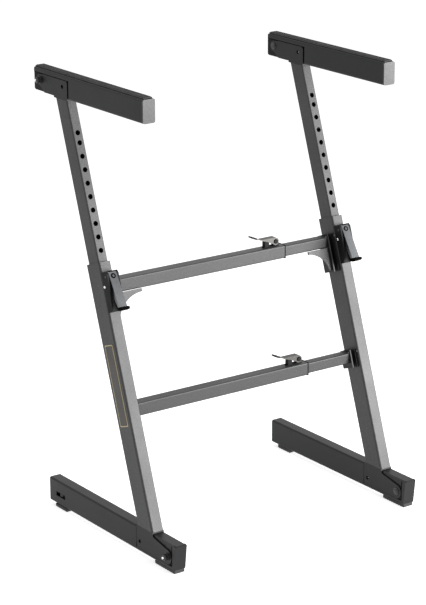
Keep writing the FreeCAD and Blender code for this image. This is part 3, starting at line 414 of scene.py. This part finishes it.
def grained_material(
    name, colour, grain, cloud, roughness, bump, spread, metallic=0.0, stretch=(1, 1, 1), shine=0.5
):
    """A finish with fine grain in its height, colour and gloss."""
    material, tree, shader = new_material(name, roughness[0], metallic)
    shader.inputs["Specular IOR Level"].default_value = shine
    coordinates = tree.nodes.new("ShaderNodeTexCoord")
    mapping = tree.nodes.new("ShaderNodeMapping")
    mapping.inputs["Scale"].default_value = stretch
    link(tree, coordinates.outputs["Object"], mapping.inputs["Vector"])
    grit = place_group(tree, "Fine grain", fine_grain_group)
    grit.inputs["Grain"].default_value = grain
    grit.inputs["Cloud"].default_value = cloud
    link(tree, mapping.outputs["Vector"], grit.inputs["Vector"])
    tint = place_group(tree, "Tint", tint_group)
    tint.inputs["Colour"].default_value = (*colour, 1)
    tint.inputs["Spread"].default_value = spread
    link(tree, grit.outputs["Speckle"], tint.inputs["Mask"])
    link(tree, tint.outputs["Colour"], shader.inputs["Base Color"])
    gloss = tree.nodes.new("ShaderNodeMapRange")
    gloss.inputs["From Min"].default_value = 0.3
    gloss.inputs["From Max"].default_value = 0.7
    gloss.inputs["To Min"].default_value = roughness[0]
    gloss.inputs["To Max"].default_value = roughness[1]
    link(tree, grit.outputs["Cloudiness"], gloss.inputs["Value"])
    link(tree, gloss.outputs["Result"], shader.inputs["Roughness"])
    if bump:
        relief = tree.nodes.new("ShaderNodeBump")
        relief.inputs["Strength"].default_value = bump
        relief.inputs["Distance"].default_value = 0.0004
        link(tree, grit.outputs["Height"], relief.inputs["Height"])
        link(tree, relief.outputs["Normal"], shader.inputs["Normal"])
    return material


def seen_rays(tree):
    """One for rays from the camera and for reflected and refracted ones, and zero for the rest."""
    path = tree.nodes.new("ShaderNodeLightPath")
    seen = path.outputs["Is Camera Ray"]
    for output in ("Is Glossy Ray", "Is Transmission Ray"):
        either = tree.nodes.new("ShaderNodeMath")
        either.operation = "MAXIMUM"
        link(tree, seen, either.inputs[0])
        link(tree, path.outputs[output], either.inputs[1])
        seen = either.outputs["Value"]
    return seen


MATERIALS = {}


def powder_coat():
    coat = finish()
    return grained_material(
        "Powder coat", coat.paint, grain=380, cloud=9, roughness=(0.40, 0.50), bump=coat.grit, spread=1.0
    )


def dark_coat():
    return grained_material(
        "Dark coat", finish().dark_paint, grain=1100, cloud=12, roughness=(0.34, 0.42),
        bump=0.12, spread=0.3, shine=0.22,
    )


def moulded_plastic():
    return grained_material(
        "Moulded plastic", finish().moulding, grain=1300, cloud=20, roughness=(0.48, 0.60), bump=0.15,
        spread=0.25, shine=0.12,
    )


def rubber():
    return grained_material(
        "Rubber", finish().rubber, grain=1600, cloud=30, roughness=(0.62, 0.78), bump=0.22, spread=0.3
    )


# Near-black finish of the lever grips and washers, also used on the thin strips that paint the shadow in
# the plates' gaps.
def black_parts_and_gap_shade():
    return grained_material(
        "Black parts and gap shade", finish().black_and_gap_shade, grain=1500, cloud=30, roughness=(0.80, 0.90), bump=0.10, spread=0.2,
        shine=0.04,
    )


def plated_steel():
    return grained_material(
        "Plated steel", finish().steel, grain=420, cloud=30, roughness=(0.24, 0.36), bump=0.06, spread=0.14,
        metallic=1.0, stretch=(1, 1, 0.06),
    )


def dull_zinc():
    return grained_material(
        "Dull zinc", finish().zinc, grain=500, cloud=40, roughness=(0.34, 0.46), bump=0.06, spread=0.18,
        metallic=1.0,
    )


def black_steel():
    return grained_material(
        "Black steel", finish().black_steel, grain=1100, cloud=60, roughness=(0.32, 0.44), bump=0.05,
        spread=0.2, metallic=0.35,
    )


def bright_chrome():
    return grained_material(
        "Chrome", finish().chrome, grain=600, cloud=80, roughness=(0.06, 0.13), bump=0.0, spread=0.05,
        metallic=1.0,
    )


def panel_border():
    return grained_material(
        "Panel border", finish().panel_edge, grain=700, cloud=60, roughness=(0.34, 0.44),
        bump=0.03, spread=0.10,
    )


def panel_field():
    return grained_material(
        "Panel field", finish().panel_field, grain=900, cloud=40, roughness=(0.36, 0.46),
        bump=0.03, spread=0.15,
    )


FINISHES = {
    "frame_paint": powder_coat,
    "dark_paint": dark_coat,
    "moulded": moulded_plastic,
    "rubber": rubber,
    "black_and_gap_shade": black_parts_and_gap_shade,
    "bright_steel": plated_steel,
    "dull_zinc": dull_zinc,
    "dark_steel": black_steel,
    "chrome": bright_chrome,
    "panel_border": panel_border,
    "panel_field": panel_field,
}

# Nodes whose coat in the photograph differs from their slot's, by a part of their names.
OTHER_FINISHES = {
    "_arm_tube": "dark_paint",
    "_arm_bracket": "dark_paint",
    "_foot_tube": "dark_paint",
    "_foot_bracket": "dark_paint",
    "_arm_cap": "frame_paint",
    "_foot_cap": "dark_paint",
    "_toe_block": "dark_paint",
    "_lock_housing": "moulded",
    "_lever_grip": "black_and_gap_shade",
    "_bar_bracket": "dark_paint",
    "_lever_pivot": "dark_steel",
    "_clamp_lever": "dull_zinc",
    "_leg_bush": "frame_paint",
    "clamp_pins": "dark_steel",
}


def coat_of(node, slot):
    """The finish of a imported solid."""
    return next((coat for part, coat in OTHER_FINISHES.items() if part in node), slot)


def material(name):
    if name not in MATERIALS:
        MATERIALS[name] = FINISHES[name]()
    return MATERIALS[name]


# Modelling helpers.
def add_piece(name, mesh, finishes, body, replaced=()):
    """Makes a piece from a bmesh and lets it ride on a body."""
    bmesh.ops.recalc_face_normals(mesh, faces=mesh.faces)
    data = bpy.data.meshes.new(name)
    mesh.to_mesh(data)
    mesh.free()
    for item in finishes:
        data.materials.append(material(item))
    piece = bpy.data.objects.new(name, data)
    bpy.context.scene.collection.objects.link(piece)
    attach(piece, body)
    if replaced:
        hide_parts(*replaced)
    return piece


def round_edges(mesh, edges, offset, segments=2):
    bmesh.ops.bevel(
        mesh, geom=list(edges), offset=offset, offset_type="OFFSET", affect="EDGES", segments=segments,
        profile=0.5, material=-1, clamp_overlap=True,
    )


def sharp_edges(mesh, verts, angle=BLOCK_ANGLE):
    own = set(verts)
    return [
        edge for edge in mesh.edges
        if edge.verts[0] in own and edge.verts[1] in own and len(edge.link_faces) == 2
        and edge.calc_face_angle(0) > angle
    ]


def add_block(mesh, matrix, bevel, segments=2):
    """A block with round edges, shaped from a unit cube by a matrix."""
    made = bmesh.ops.create_cube(mesh, size=1, matrix=matrix)
    round_edges(mesh, sharp_edges(mesh, made["verts"]), bevel, segments)


def add_prism(mesh, matrix, sides, radius, top_radius, depth, bevel=0.0):
    """A prism or a turned piece along the matrix's Z, with round edges."""
    made = bmesh.ops.create_cone(
        mesh, cap_ends=True, cap_tris=False, segments=sides, radius1=radius, radius2=top_radius,
        depth=depth, matrix=matrix,
    )
    if bevel:
        round_edges(mesh, sharp_edges(mesh, made["verts"], TURNED_ANGLE), bevel)


def add_turned(mesh, matrix, item):
    """A turned fitting on the face at the matrix's place, with its axis along the matrix's Z."""
    middle = Matrix.Translation((0, 0, (item.start + item.end) / 2))
    add_prism(mesh, matrix @ middle, item.sides, item.radius, item.tip, item.end - item.start, item.bevel)


def add_collar(mesh, span, outer, lip, inner, clearance):
    """A rectangular ring along X, a lip outside one node's outline and clear of another's."""
    rings = []
    for x in span:
        for node, grow in ((outer, lip), (inner, clearance)):
            low, high = node_low(node), node_high(node)
            corners = (
                (low.y - grow, low.z - grow), (high.y + grow, low.z - grow),
                (high.y + grow, high.z + grow), (low.y - grow, high.z + grow),
            )
            rings.append([mesh.verts.new((x, y, z)) for y, z in corners])
    near_out, near_in, far_out, far_in = rings
    for a, b in ((near_out, near_in), (far_out, far_in), (near_out, far_out), (near_in, far_in)):
        for i in range(4):
            j = (i + 1) % 4
            mesh.faces.new((a[i], a[j], b[j], b[i]))
    round_edges(mesh, sharp_edges(mesh, mesh.verts), THIN_ROUND)


def along_x(place, direction):
    """A matrix whose Z points along X, to the right where direction is 1."""
    return Matrix.Translation(place) @ Matrix.Rotation(direction * math.pi / 2, 4, "Y")


def along_y(place, direction):
    """A matrix whose Z points along Y, to the rear where direction is 1."""
    return Matrix.Translation(place) @ Matrix.Rotation(-direction * math.pi / 2, 4, "X")


class STAND_OT_frame_finish(bpy.types.Operator):
    """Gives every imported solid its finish"""
    bl_idname = "stand.frame_finish"
    bl_label = "Finish the frame"

    def execute(self, context):
        slots = {item["node"]: item["material_slot"] for item in frame["record"]["subparts"]}
        for name, node in frame["nodes"].items():
            coat = material(coat_of(name, slots[name]))
            if not node.material_slots:
                node.data.materials.append(coat)
            for place in node.material_slots:
                place.material = coat
        return {"FINISHED"}


class STAND_OT_leg_panel(bpy.types.Operator):
    """Adds the bare panel on the outer face of the left leg"""
    bl_idname = "stand.leg_panel"
    bl_label = "Add the leg panel"

    border_proud, field_proud = 0.0005, 0.0008
    along_share = 0.9

    def execute(self, context):
        size = sizes()
        leg = leg_frame("left")
        outer = node_low("left_outer_leg").x - node_middle("left_outer_leg").x
        for name, inset, proud, coat in (
            ("leg_panel_border", 0, self.border_proud, "panel_border"),
            ("leg_panel_field", 2 * size.panel_border, self.field_proud, "panel_field"),
        ):
            mesh = bmesh.new()
            shape = Matrix.Diagonal((proud, size.panel_width - inset, size.panel_length - inset, 1))
            place = Matrix.Translation((outer - proud / 2, 0, size.panel_place))
            bmesh.ops.create_cube(mesh, size=1, matrix=leg @ place @ shape)
            across = [
                edge for edge in mesh.edges
                if abs((edge.verts[0].co - edge.verts[1].co).normalized().x) > self.along_share
            ]
            round_edges(mesh, across, size.panel_round, 4)
            add_piece(name, mesh, [coat], "left_lower_frame")
        return {"FINISHED"}


class STAND_OT_pivot_nuts(bpy.types.Operator):
    """Adds hexagon nuts, washers and thread tips to the pivot bolts"""
    bl_idname = "stand.pivot_nuts"
    bl_label = "Add the pivot nuts"

    def execute(self, context):
        for side, sign in SIDES.items():
            for part, body in (("arm", f"{side}_upper_leg"), ("foot", f"{side}_lower_frame")):
                bolt, plate = f"{side}_{part}_bolt", f"{side}_{part}_bracket"
                inner, outer = sorted((node_low(plate).x, node_high(plate).x), key=abs)
                middle = node_middle(bolt)
                nut_face = along_x(Vector((outer, middle.y, middle.z)), sign)
                head_face = along_x(Vector((inner, middle.y, middle.z)), -sign)
                mesh = bmesh.new()
                for item in (NUT_WASHER, NUT, NUT_COLLAR):
                    add_turned(mesh, nut_face, item)
                for item in (HEAD_WASHER, BOLT_HEAD):
                    add_turned(mesh, head_face, item)
                add_piece(f"{bolt}_nut", mesh, ["dark_steel"], body, [bolt])
                mesh = bmesh.new()
                add_turned(mesh, nut_face, THREAD_TIP)
                add_piece(f"{bolt}_tip", mesh, ["chrome"], body)
        return {"FINISHED"}


class STAND_OT_arm_strips(bpy.types.Operator):
    """Lays ribbed strips along the tops of the arms"""
    bl_idname = "stand.arm_strips"
    bl_label = "Lay the arm strips"

    base_share = 0.7
    rib_share = 0.62
    rib_end = 0.002
    rib_sink = 0.0006

    def execute(self, context):
        for side in SIDES:
            node = f"{side}_arm_pad"
            low, high = node_low(node), node_high(node)
            base = Vector((high.x - low.x, high.y - low.y, (high.z - low.z) * self.base_share))
            middle = Vector(((low.x + high.x) / 2, (low.y + high.y) / 2, low.z + base.z / 2))
            mesh = bmesh.new()
            add_block(mesh, Matrix.Translation(middle) @ Matrix.Diagonal((*base, 1)), SLAB_ROUND, 3)
            pitch = base.x / (STRIP_RIBS + 1)
            rib_low, rib_long = low.z + base.z - self.rib_sink, base.y - 2 * self.rib_end
            shape = Matrix.Diagonal((pitch * self.rib_share, rib_long, high.z - rib_low, 1))
            for i in range(STRIP_RIBS):
                place = Matrix.Translation((low.x + pitch * (i + 1), middle.y, (high.z + rib_low) / 2))
                add_block(mesh, place @ shape, RIB_ROUND)
            piece = add_piece(f"{side}_arm_strip", mesh, ["rubber"], f"{side}_arm", [node])
        return {"FINISHED"}


class STAND_OT_levelling(bpy.types.Operator):
    """Knurls the levelling wheel"""
    bl_idname = "stand.levelling"
    bl_label = "Make the levelling wheel"

    root_share = 0.93
    same_level = 1e-6

    def execute(self, context):
        node = "levelling_wheel"
        low, high = node_low(node), node_high(node)
        middle = (low + high) / 2
        radius = (high.x - low.x) / 2
        mesh = bmesh.new()
        made = bmesh.ops.create_cone(
            mesh, cap_ends=True, cap_tris=False, segments=2 * WHEEL_TEETH, radius1=radius, radius2=radius,
            depth=high.z - low.z, matrix=Matrix.Translation(middle),
        )
        for vert in made["verts"]:
            turn = math.atan2(vert.co.y - middle.y, vert.co.x - middle.x)
            if round(turn / math.pi * WHEEL_TEETH) % 2:
                vert.co.x = middle.x + (vert.co.x - middle.x) * self.root_share
                vert.co.y = middle.y + (vert.co.y - middle.y) * self.root_share
        rims = [
            edge for edge in mesh.edges
            if abs(edge.verts[0].co.z - edge.verts[1].co.z) < self.same_level
        ]
        round_edges(mesh, rims, RIM_ROUND)
        add_piece(f"{node}_knurled", mesh, ["dark_steel"], node, [node])
        return {"FINISHED"}


class STAND_OT_lock_fittings(bpy.types.Operator):
    """Adds the rivets of the lock levers and the screws of their housings"""
    bl_idname = "stand.lock_fittings"
    bl_label = "Add the lock fittings"

    def execute(self, context):
        tilt = Matrix.Rotation(math.pi / 2 - sizes().lever_tilt, 4, "X")
        for side in SIDES:
            leg = leg_frame(side)
            lever, housing = f"{side}_lock_lever", f"{side}_lock_housing"
            face = leg @ Matrix.Translation(LEVER_RIVET) @ tilt
            mesh = bmesh.new()
            add_turned(mesh, face, LEVER_WASHER)
            add_piece(f"{side}_lever_washer", mesh, ["black_and_gap_shade"], lever)
            mesh = bmesh.new()
            add_turned(mesh, face, RIVET_HEAD)
            add_piece(f"{side}_lever_rivet", mesh, ["bright_steel"], lever)
            half = (node_high(housing).x - node_low(housing).x) / 2
            mesh = bmesh.new()
            for direction in (-1, 1):
                place = leg @ along_x(Vector((direction * half, *HOUSING_SCREW)), direction)
                add_turned(mesh, place, HOUSING_SCREW_HEAD)
            add_piece(f"{side}_housing_screws", mesh, ["chrome"], f"{side}_lower_frame")
        return {"FINISHED"}


class STAND_OT_bar_fittings(bpy.types.Operator):
    """Adds the clamp levers' tips, the sleeves' mouths, the brackets' screws and the clamps' pivot caps"""
    bl_idname = "stand.bar_fittings"
    bl_label = "Add the crossbar fittings"

    tip_length, tip_thick, tip_wider = 0.0140, 0.0036, 0.0012
    tip_inset, tip_drop = 0.0062, 0.0036
    mouth_lap, mouth_reach, mouth_lip, mouth_clearance = 0.0012, 0.0016, 0.0004, 0.0003
    rim_screw_inset, web_screw_step = 0.006, 0.0036

    def execute(self, context):
        for name in ("upper", "lower"):
            lever = f"{name}_clamp_lever"
            self.tip(name, lever)
            self.mouth(name)
            self.screws(name)
            self.pivot_caps(name, lever)
        return {"FINISHED"}

    def tip(self, name, lever):
        low, high = node_low(lever), node_high(lever)
        place = Vector((low.x + self.tip_inset, (low.y + high.y) / 2, high.z - self.tip_drop))
        slope = Matrix.Rotation(sizes().clamp_slope, 4, "Y")
        shape = Matrix.Diagonal((self.tip_length, high.y - low.y + self.tip_wider, self.tip_thick, 1))
        mesh = bmesh.new()
        add_block(mesh, Matrix.Translation(place) @ slope @ shape, TIP_ROUND)
        add_piece(f"{name}_clamp_tip", mesh, ["moulded"], lever)

    def mouth(self, name):
        sleeve, bar = f"{name}_sleeve", f"{name}_inner_bar"
        end = node_high(sleeve).x
        span = (end - self.mouth_lap, end + self.mouth_reach)
        mesh = bmesh.new()
        add_collar(mesh, span, sleeve, self.mouth_lip, bar, self.mouth_clearance)
        add_piece(f"{name}_sleeve_mouth", mesh, ["moulded"], "left_lower_frame")

    def screws(self, name):
        size = sizes()
        leg = leg_frame("right")
        rise = node_middle(f"{name}_inner_bar").z - leg.translation.z
        along = rise / math.cos(size.lean) + size.bracket_screw_rise
        inner_face = node_low("right_outer_leg").x - node_middle("right_outer_leg").x
        rim = (inner_face - size.bracket_reach, size.bracket_front + self.rim_screw_inset, along)
        web = (inner_face, size.bracket_front - self.web_screw_step, along)
        mesh = bmesh.new()
        for place in (rim, web):
            add_turned(mesh, leg @ along_x(Vector(place), -1), BRACKET_SCREW_HEAD)
        add_piece(f"{name}_bracket_screws", mesh, ["bright_steel"], "right_lower_frame")

    def pivot_caps(self, name, lever):
        low, high = node_low(lever), node_high(lever)
        radius = sizes().clamp_round
        mesh = bmesh.new()
        for y, direction in ((low.y, -1), (high.y, 1)):
            place = Vector((high.x - radius, y, low.z + radius))
            add_turned(mesh, along_y(place, direction), CLAMP_CAP)
        add_piece(f"{name}_clamp_pivot_caps", mesh, ["moulded"], "left_lower_frame")


class STAND_OT_pads(bpy.types.Operator):
    """Treads the rubber pads under the feet and threads the levelling stud"""
    bl_idname = "stand.pads"
    bl_label = "Tread the pads"

    stud_radius = 0.0039
    first_turn, spare_turn = 0.6, 0.2
    bar_pitch = 0.008
    bar_share = 0.6
    bar_sink = 0.0004
    margin = 0.0015

    def execute(self, context):
        for side in SIDES:
            self.tread(f"{side}_toe_pad", f"{side}_foot", node_high(f"{side}_toe_pad").z)
        self.tread("right_rear_pad", "right_foot", node_high("right_rear_pad").z)
        self.tread("left_rear_pad", "levelling_pad", sizes().pad_thick)
        self.stud(sizes().pad_thick, node_high("left_rear_pad").z)
        return {"FINISHED"}

    def stud(self, low, high):
        axis = node_middle("levelling_wheel")
        place = Matrix.Translation((axis.x, axis.y, (low + high) / 2))
        mesh = bmesh.new()
        radius = self.stud_radius
        add_prism(mesh, place, STUD_THREAD.sides, radius, radius, high - low, THIN_ROUND)
        for i in range(STUD_TURNS):
            level = low + (high - low) * (i + self.first_turn) / (STUD_TURNS + self.spare_turn)
            add_turned(mesh, Matrix.Translation((axis.x, axis.y, level)), STUD_THREAD)
        add_piece("levelling_stud", mesh, ["bright_steel"], "levelling_pad")

    def tread(self, node, body, top):
        low, high = node_low(node), node_high(node)
        depth = sizes().tread
        wide, long = high.x - low.x, high.y - low.y
        middle = Vector(((low.x + high.x) / 2, (low.y + high.y) / 2, (low.z + depth + top) / 2))
        shape = Matrix.Diagonal((wide, long, top - low.z - depth, 1))
        mesh = bmesh.new()
        add_block(mesh, Matrix.Translation(middle) @ shape, SLAB_ROUND, 3)
        count = round(long / self.bar_pitch)
        pitch = (long - 2 * self.margin) / count
        bar = Matrix.Diagonal((wide - 2 * self.margin, pitch * self.bar_share, depth + self.bar_sink, 1))
        for i in range(count):
            y = low.y + self.margin + pitch * (i + 0.5)
            place = Matrix.Translation((middle.x, y, low.z + (depth + self.bar_sink) / 2))
            add_block(mesh, place @ bar, RIB_ROUND)
        add_piece(f"{node}_treaded", mesh, ["rubber"], body, [node])


class STAND_OT_welds(bpy.types.Operator):
    """Runs weld beads where the crossbars meet the left leg"""
    bl_idname = "stand.welds"
    bl_label = "Run the welds"

    bead_sides = 12
    corner_gap = 0.001

    def execute(self, context):
        bead = sizes().weld
        for name in ("upper", "lower"):
            low, high = node_low(f"{name}_sleeve"), node_high(f"{name}_sleeve")
            middle = (low + high) / 2
            deep, tall = high.y - low.y - 2 * self.corner_gap, high.z - low.z - 2 * self.corner_gap
            mesh = bmesh.new()
            for z in (low.z, high.z):
                place = along_y(Vector((low.x, middle.y, z)), 1)
                add_prism(mesh, place, self.bead_sides, bead, bead, deep)
            for y in (low.y, high.y):
                place = Matrix.Translation((low.x, y, middle.z))
                add_prism(mesh, place, self.bead_sides, bead, bead, tall)
            add_piece(f"{name}_weld", mesh, ["frame_paint"], "left_lower_frame")
        return {"FINISHED"}


class STAND_OT_gap_shade_strips(bpy.types.Operator):
    """Paints the shadow in the gaps round the folding plates with thin near-black strips on the arms and
    feet
    """
    bl_idname = "stand.gap_trims"
    bl_label = "Edge the plates' gaps"

    thick = 0.0004
    top_share = 0.7

    def execute(self, context):
        for side in SIDES:
            self.arm(side)
            self.foot(side)
        return {"FINISHED"}

    def arm(self, side):
        size = sizes()
        plate, tube = f"{side}_arm_bracket", f"{side}_arm_tube"
        front = node_low(plate).y - size.arm_gap
        rear = node_high(tube).y - size.tube_round
        bottom = node_low(tube).z + size.tube_round
        low = node_high(plate).z + size.plate_slip
        high = low + size.gap_shade_width * self.top_share
        # Near-black strips on both faces of the tube: painted shadow down the gap in front of the plate and
        # along the plate's top.
        mesh = bmesh.new()
        for face in (node_low(tube).x, node_high(tube).x):
            self.strip(mesh, face, (front - size.gap_shade_width, bottom), (front, high))
            self.strip(mesh, face, (front, low), (rear, high))
        add_piece(f"{side}_arm_gap_shade", mesh, ["black_and_gap_shade"], f"{side}_arm")

    def foot(self, side):
        size = sizes()
        plate, toe = f"{side}_foot_bracket", f"{side}_toe_block"
        front = node_low(plate).y - size.toe_gap
        low, high = node_low(plate).z + size.gap_shade_width, node_high(toe).z - size.tube_round
        # Near-black strips on both faces of the toe block: painted shadow down the gap in front of the
        # plate.
        mesh = bmesh.new()
        for face in (node_low(toe).x, node_high(toe).x):
            self.strip(mesh, face, (front - size.gap_shade_width, low), (front, high))
        add_piece(f"{side}_foot_gap_shade", mesh, ["black_and_gap_shade"], f"{side}_foot")

    def strip(self, mesh, face, low, high):
        place = Matrix.Translation((face, (low[0] + high[0]) / 2, (low[1] + high[1]) / 2))
        shape = Matrix.Diagonal((self.thick, high[0] - low[0], high[1] - low[1], 1))
        add_block(mesh, place @ shape, self.thick / 4)


class STAND_OT_stage(bpy.types.Operator):
    """Sets the floor, the lights and the camera"""
    bl_idname = "stand.stage"
    bl_label = "Set the stage"

    floor_reach, floor_cells = 14, 4

    def execute(self, context):
        stage = context.scene.stand_stage
        scene = context.scene
        scene.view_settings.view_transform = "Standard"
        self.floor(stage)
        self.world(stage)
        self.area("Key", stage.key, size=(3.0, 1.8), place=(2.05, -2.72, 0.95), target=(0.0, 0.0, 0.7))
        self.area("Fill", stage.fill, size=(2.5, 2.5), place=(-3.4, -1.0, 1.8), target=(0.0, 0.0, 0.5))
        self.area("Top", stage.top, size=(2.6, 2.6), place=(0.2, 0.4, 3.4), target=(0.0, 0.0, 0.4))
        self.camera(stage)
        return {"FINISHED"}

    def floor(self, stage):
        mesh = bmesh.new()
        cells = self.floor_cells
        bmesh.ops.create_grid(mesh, x_segments=cells, y_segments=cells, size=self.floor_reach)
        data = bpy.data.meshes.new("floor")
        mesh.to_mesh(data)
        mesh.free()
        pale, tree, shader = new_material("Pale floor", 0.9)
        shader.inputs["Base Color"].default_value = (*[stage.floor_tone] * 3, 1)
        shader.inputs["Specular IOR Level"].default_value = 0.0
        lift = tree.nodes.new("ShaderNodeMath")
        lift.operation = "MULTIPLY"
        lift.inputs[1].default_value = stage.floor_glow
        link(tree, seen_rays(tree), lift.inputs[0])
        shader.inputs["Emission Color"].default_value = (1, 1, 1, 1)
        link(tree, lift.outputs["Value"], shader.inputs["Emission Strength"])
        data.materials.append(pale)
        floor = bpy.data.objects.new("floor", data)
        bpy.context.scene.collection.objects.link(floor)

    def world(self, stage):
        world = bpy.data.worlds.new("Studio")
        world.use_nodes = True
        tree = world.node_tree
        back = tree.nodes["Background"]
        back.inputs["Color"].default_value = (1, 1, 1, 1)
        strength = tree.nodes.new("ShaderNodeMapRange")
        strength.inputs["To Min"].default_value = stage.world
        strength.inputs["To Max"].default_value = 1.0
        link(tree, seen_rays(tree), strength.inputs["Value"])
        link(tree, strength.outputs["Result"], back.inputs["Strength"])
        bpy.context.scene.world = world

    def area(self, name, power, size, place, target):
        lamp = bpy.data.lights.new(name, "AREA")
        lamp.energy = power
        lamp.shape = "RECTANGLE"
        lamp.size, lamp.size_y = size
        lamp_object = bpy.data.objects.new(name, lamp)
        lamp_object.location = place
        aim = Vector(target) - Vector(place)
        lamp_object.rotation_euler = aim.to_track_quat("-Z", "Y").to_euler()
        bpy.context.scene.collection.objects.link(lamp_object)

    def camera(self, stage):
        camera = bpy.data.cameras.new("Camera")
        camera.sensor_fit = "VERTICAL"
        camera.sensor_height = 36
        camera.lens = stage.focal
        camera.clip_end = 50
        across, ahead = math.sin(stage.azimuth), math.cos(stage.azimuth)
        flat = math.cos(stage.elevation)
        back = Vector((across * flat, -ahead * flat, math.sin(stage.elevation)))
        right = Vector((ahead, across, 0))
        up = back.cross(right)
        turn = Matrix((right, up, back)).transposed().to_4x4()
        eye = bpy.data.objects.new("Camera", camera)
        eye.matrix_world = Matrix.Translation(stage.eye) @ turn @ Matrix.Rotation(stage.roll, 4, "Z")
        bpy.context.scene.collection.objects.link(eye)
        bpy.context.scene.camera = eye


PIECES = (
    STAND_OT_frame_finish,
    STAND_OT_leg_panel,
    STAND_OT_pivot_nuts,
    STAND_OT_arm_strips,
    STAND_OT_levelling,
    STAND_OT_lock_fittings,
    STAND_OT_bar_fittings,
    STAND_OT_pads,
    STAND_OT_welds,
    STAND_OT_gap_shade_strips,
    STAND_OT_stage,
)


class STAND_PT_panel(bpy.types.Panel):
    """Lists the steps and the values of the stand"""
    bl_idname = "STAND_PT_panel"
    bl_label = "Keyboard stand"
    bl_space_type = "VIEW_3D"
    bl_region_type = "UI"
    bl_category = "Stand"

    def draw(self, context):
        for piece in PIECES:
            self.layout.operator(piece.bl_idname)
        for group in (context.scene.stand_finish, context.scene.stand_sizes, context.scene.stand_stage):
            box = self.layout.box()
            for name in group.__annotations__:
                box.prop(group, name)


GROUP_CLASSES = (StandFinish, StandSizes, StandStage)


def register():
    for item in (*GROUP_CLASSES, *PIECES, STAND_PT_panel):
        bpy.utils.register_class(item)
    bpy.types.Scene.stand_finish = PointerProperty(type=StandFinish)
    bpy.types.Scene.stand_sizes = PointerProperty(type=StandSizes)
    bpy.types.Scene.stand_stage = PointerProperty(type=StandStage)


def unregister():
    del bpy.types.Scene.stand_stage
    del bpy.types.Scene.stand_sizes
    del bpy.types.Scene.stand_finish
    for item in reversed((*GROUP_CLASSES, *PIECES, STAND_PT_panel)):
        bpy.utils.unregister_class(item)


def main():
    register()
    bpy.ops.stand.frame_finish()
    bpy.ops.stand.leg_panel()
    bpy.ops.stand.pivot_nuts()
    bpy.ops.stand.arm_strips()
    bpy.ops.stand.levelling()
    bpy.ops.stand.lock_fittings()
    bpy.ops.stand.bar_fittings()
    bpy.ops.stand.pads()
    bpy.ops.stand.welds()
    bpy.ops.stand.gap_trims()
    bpy.ops.stand.stage()


if __name__ == "__main__":
    main()
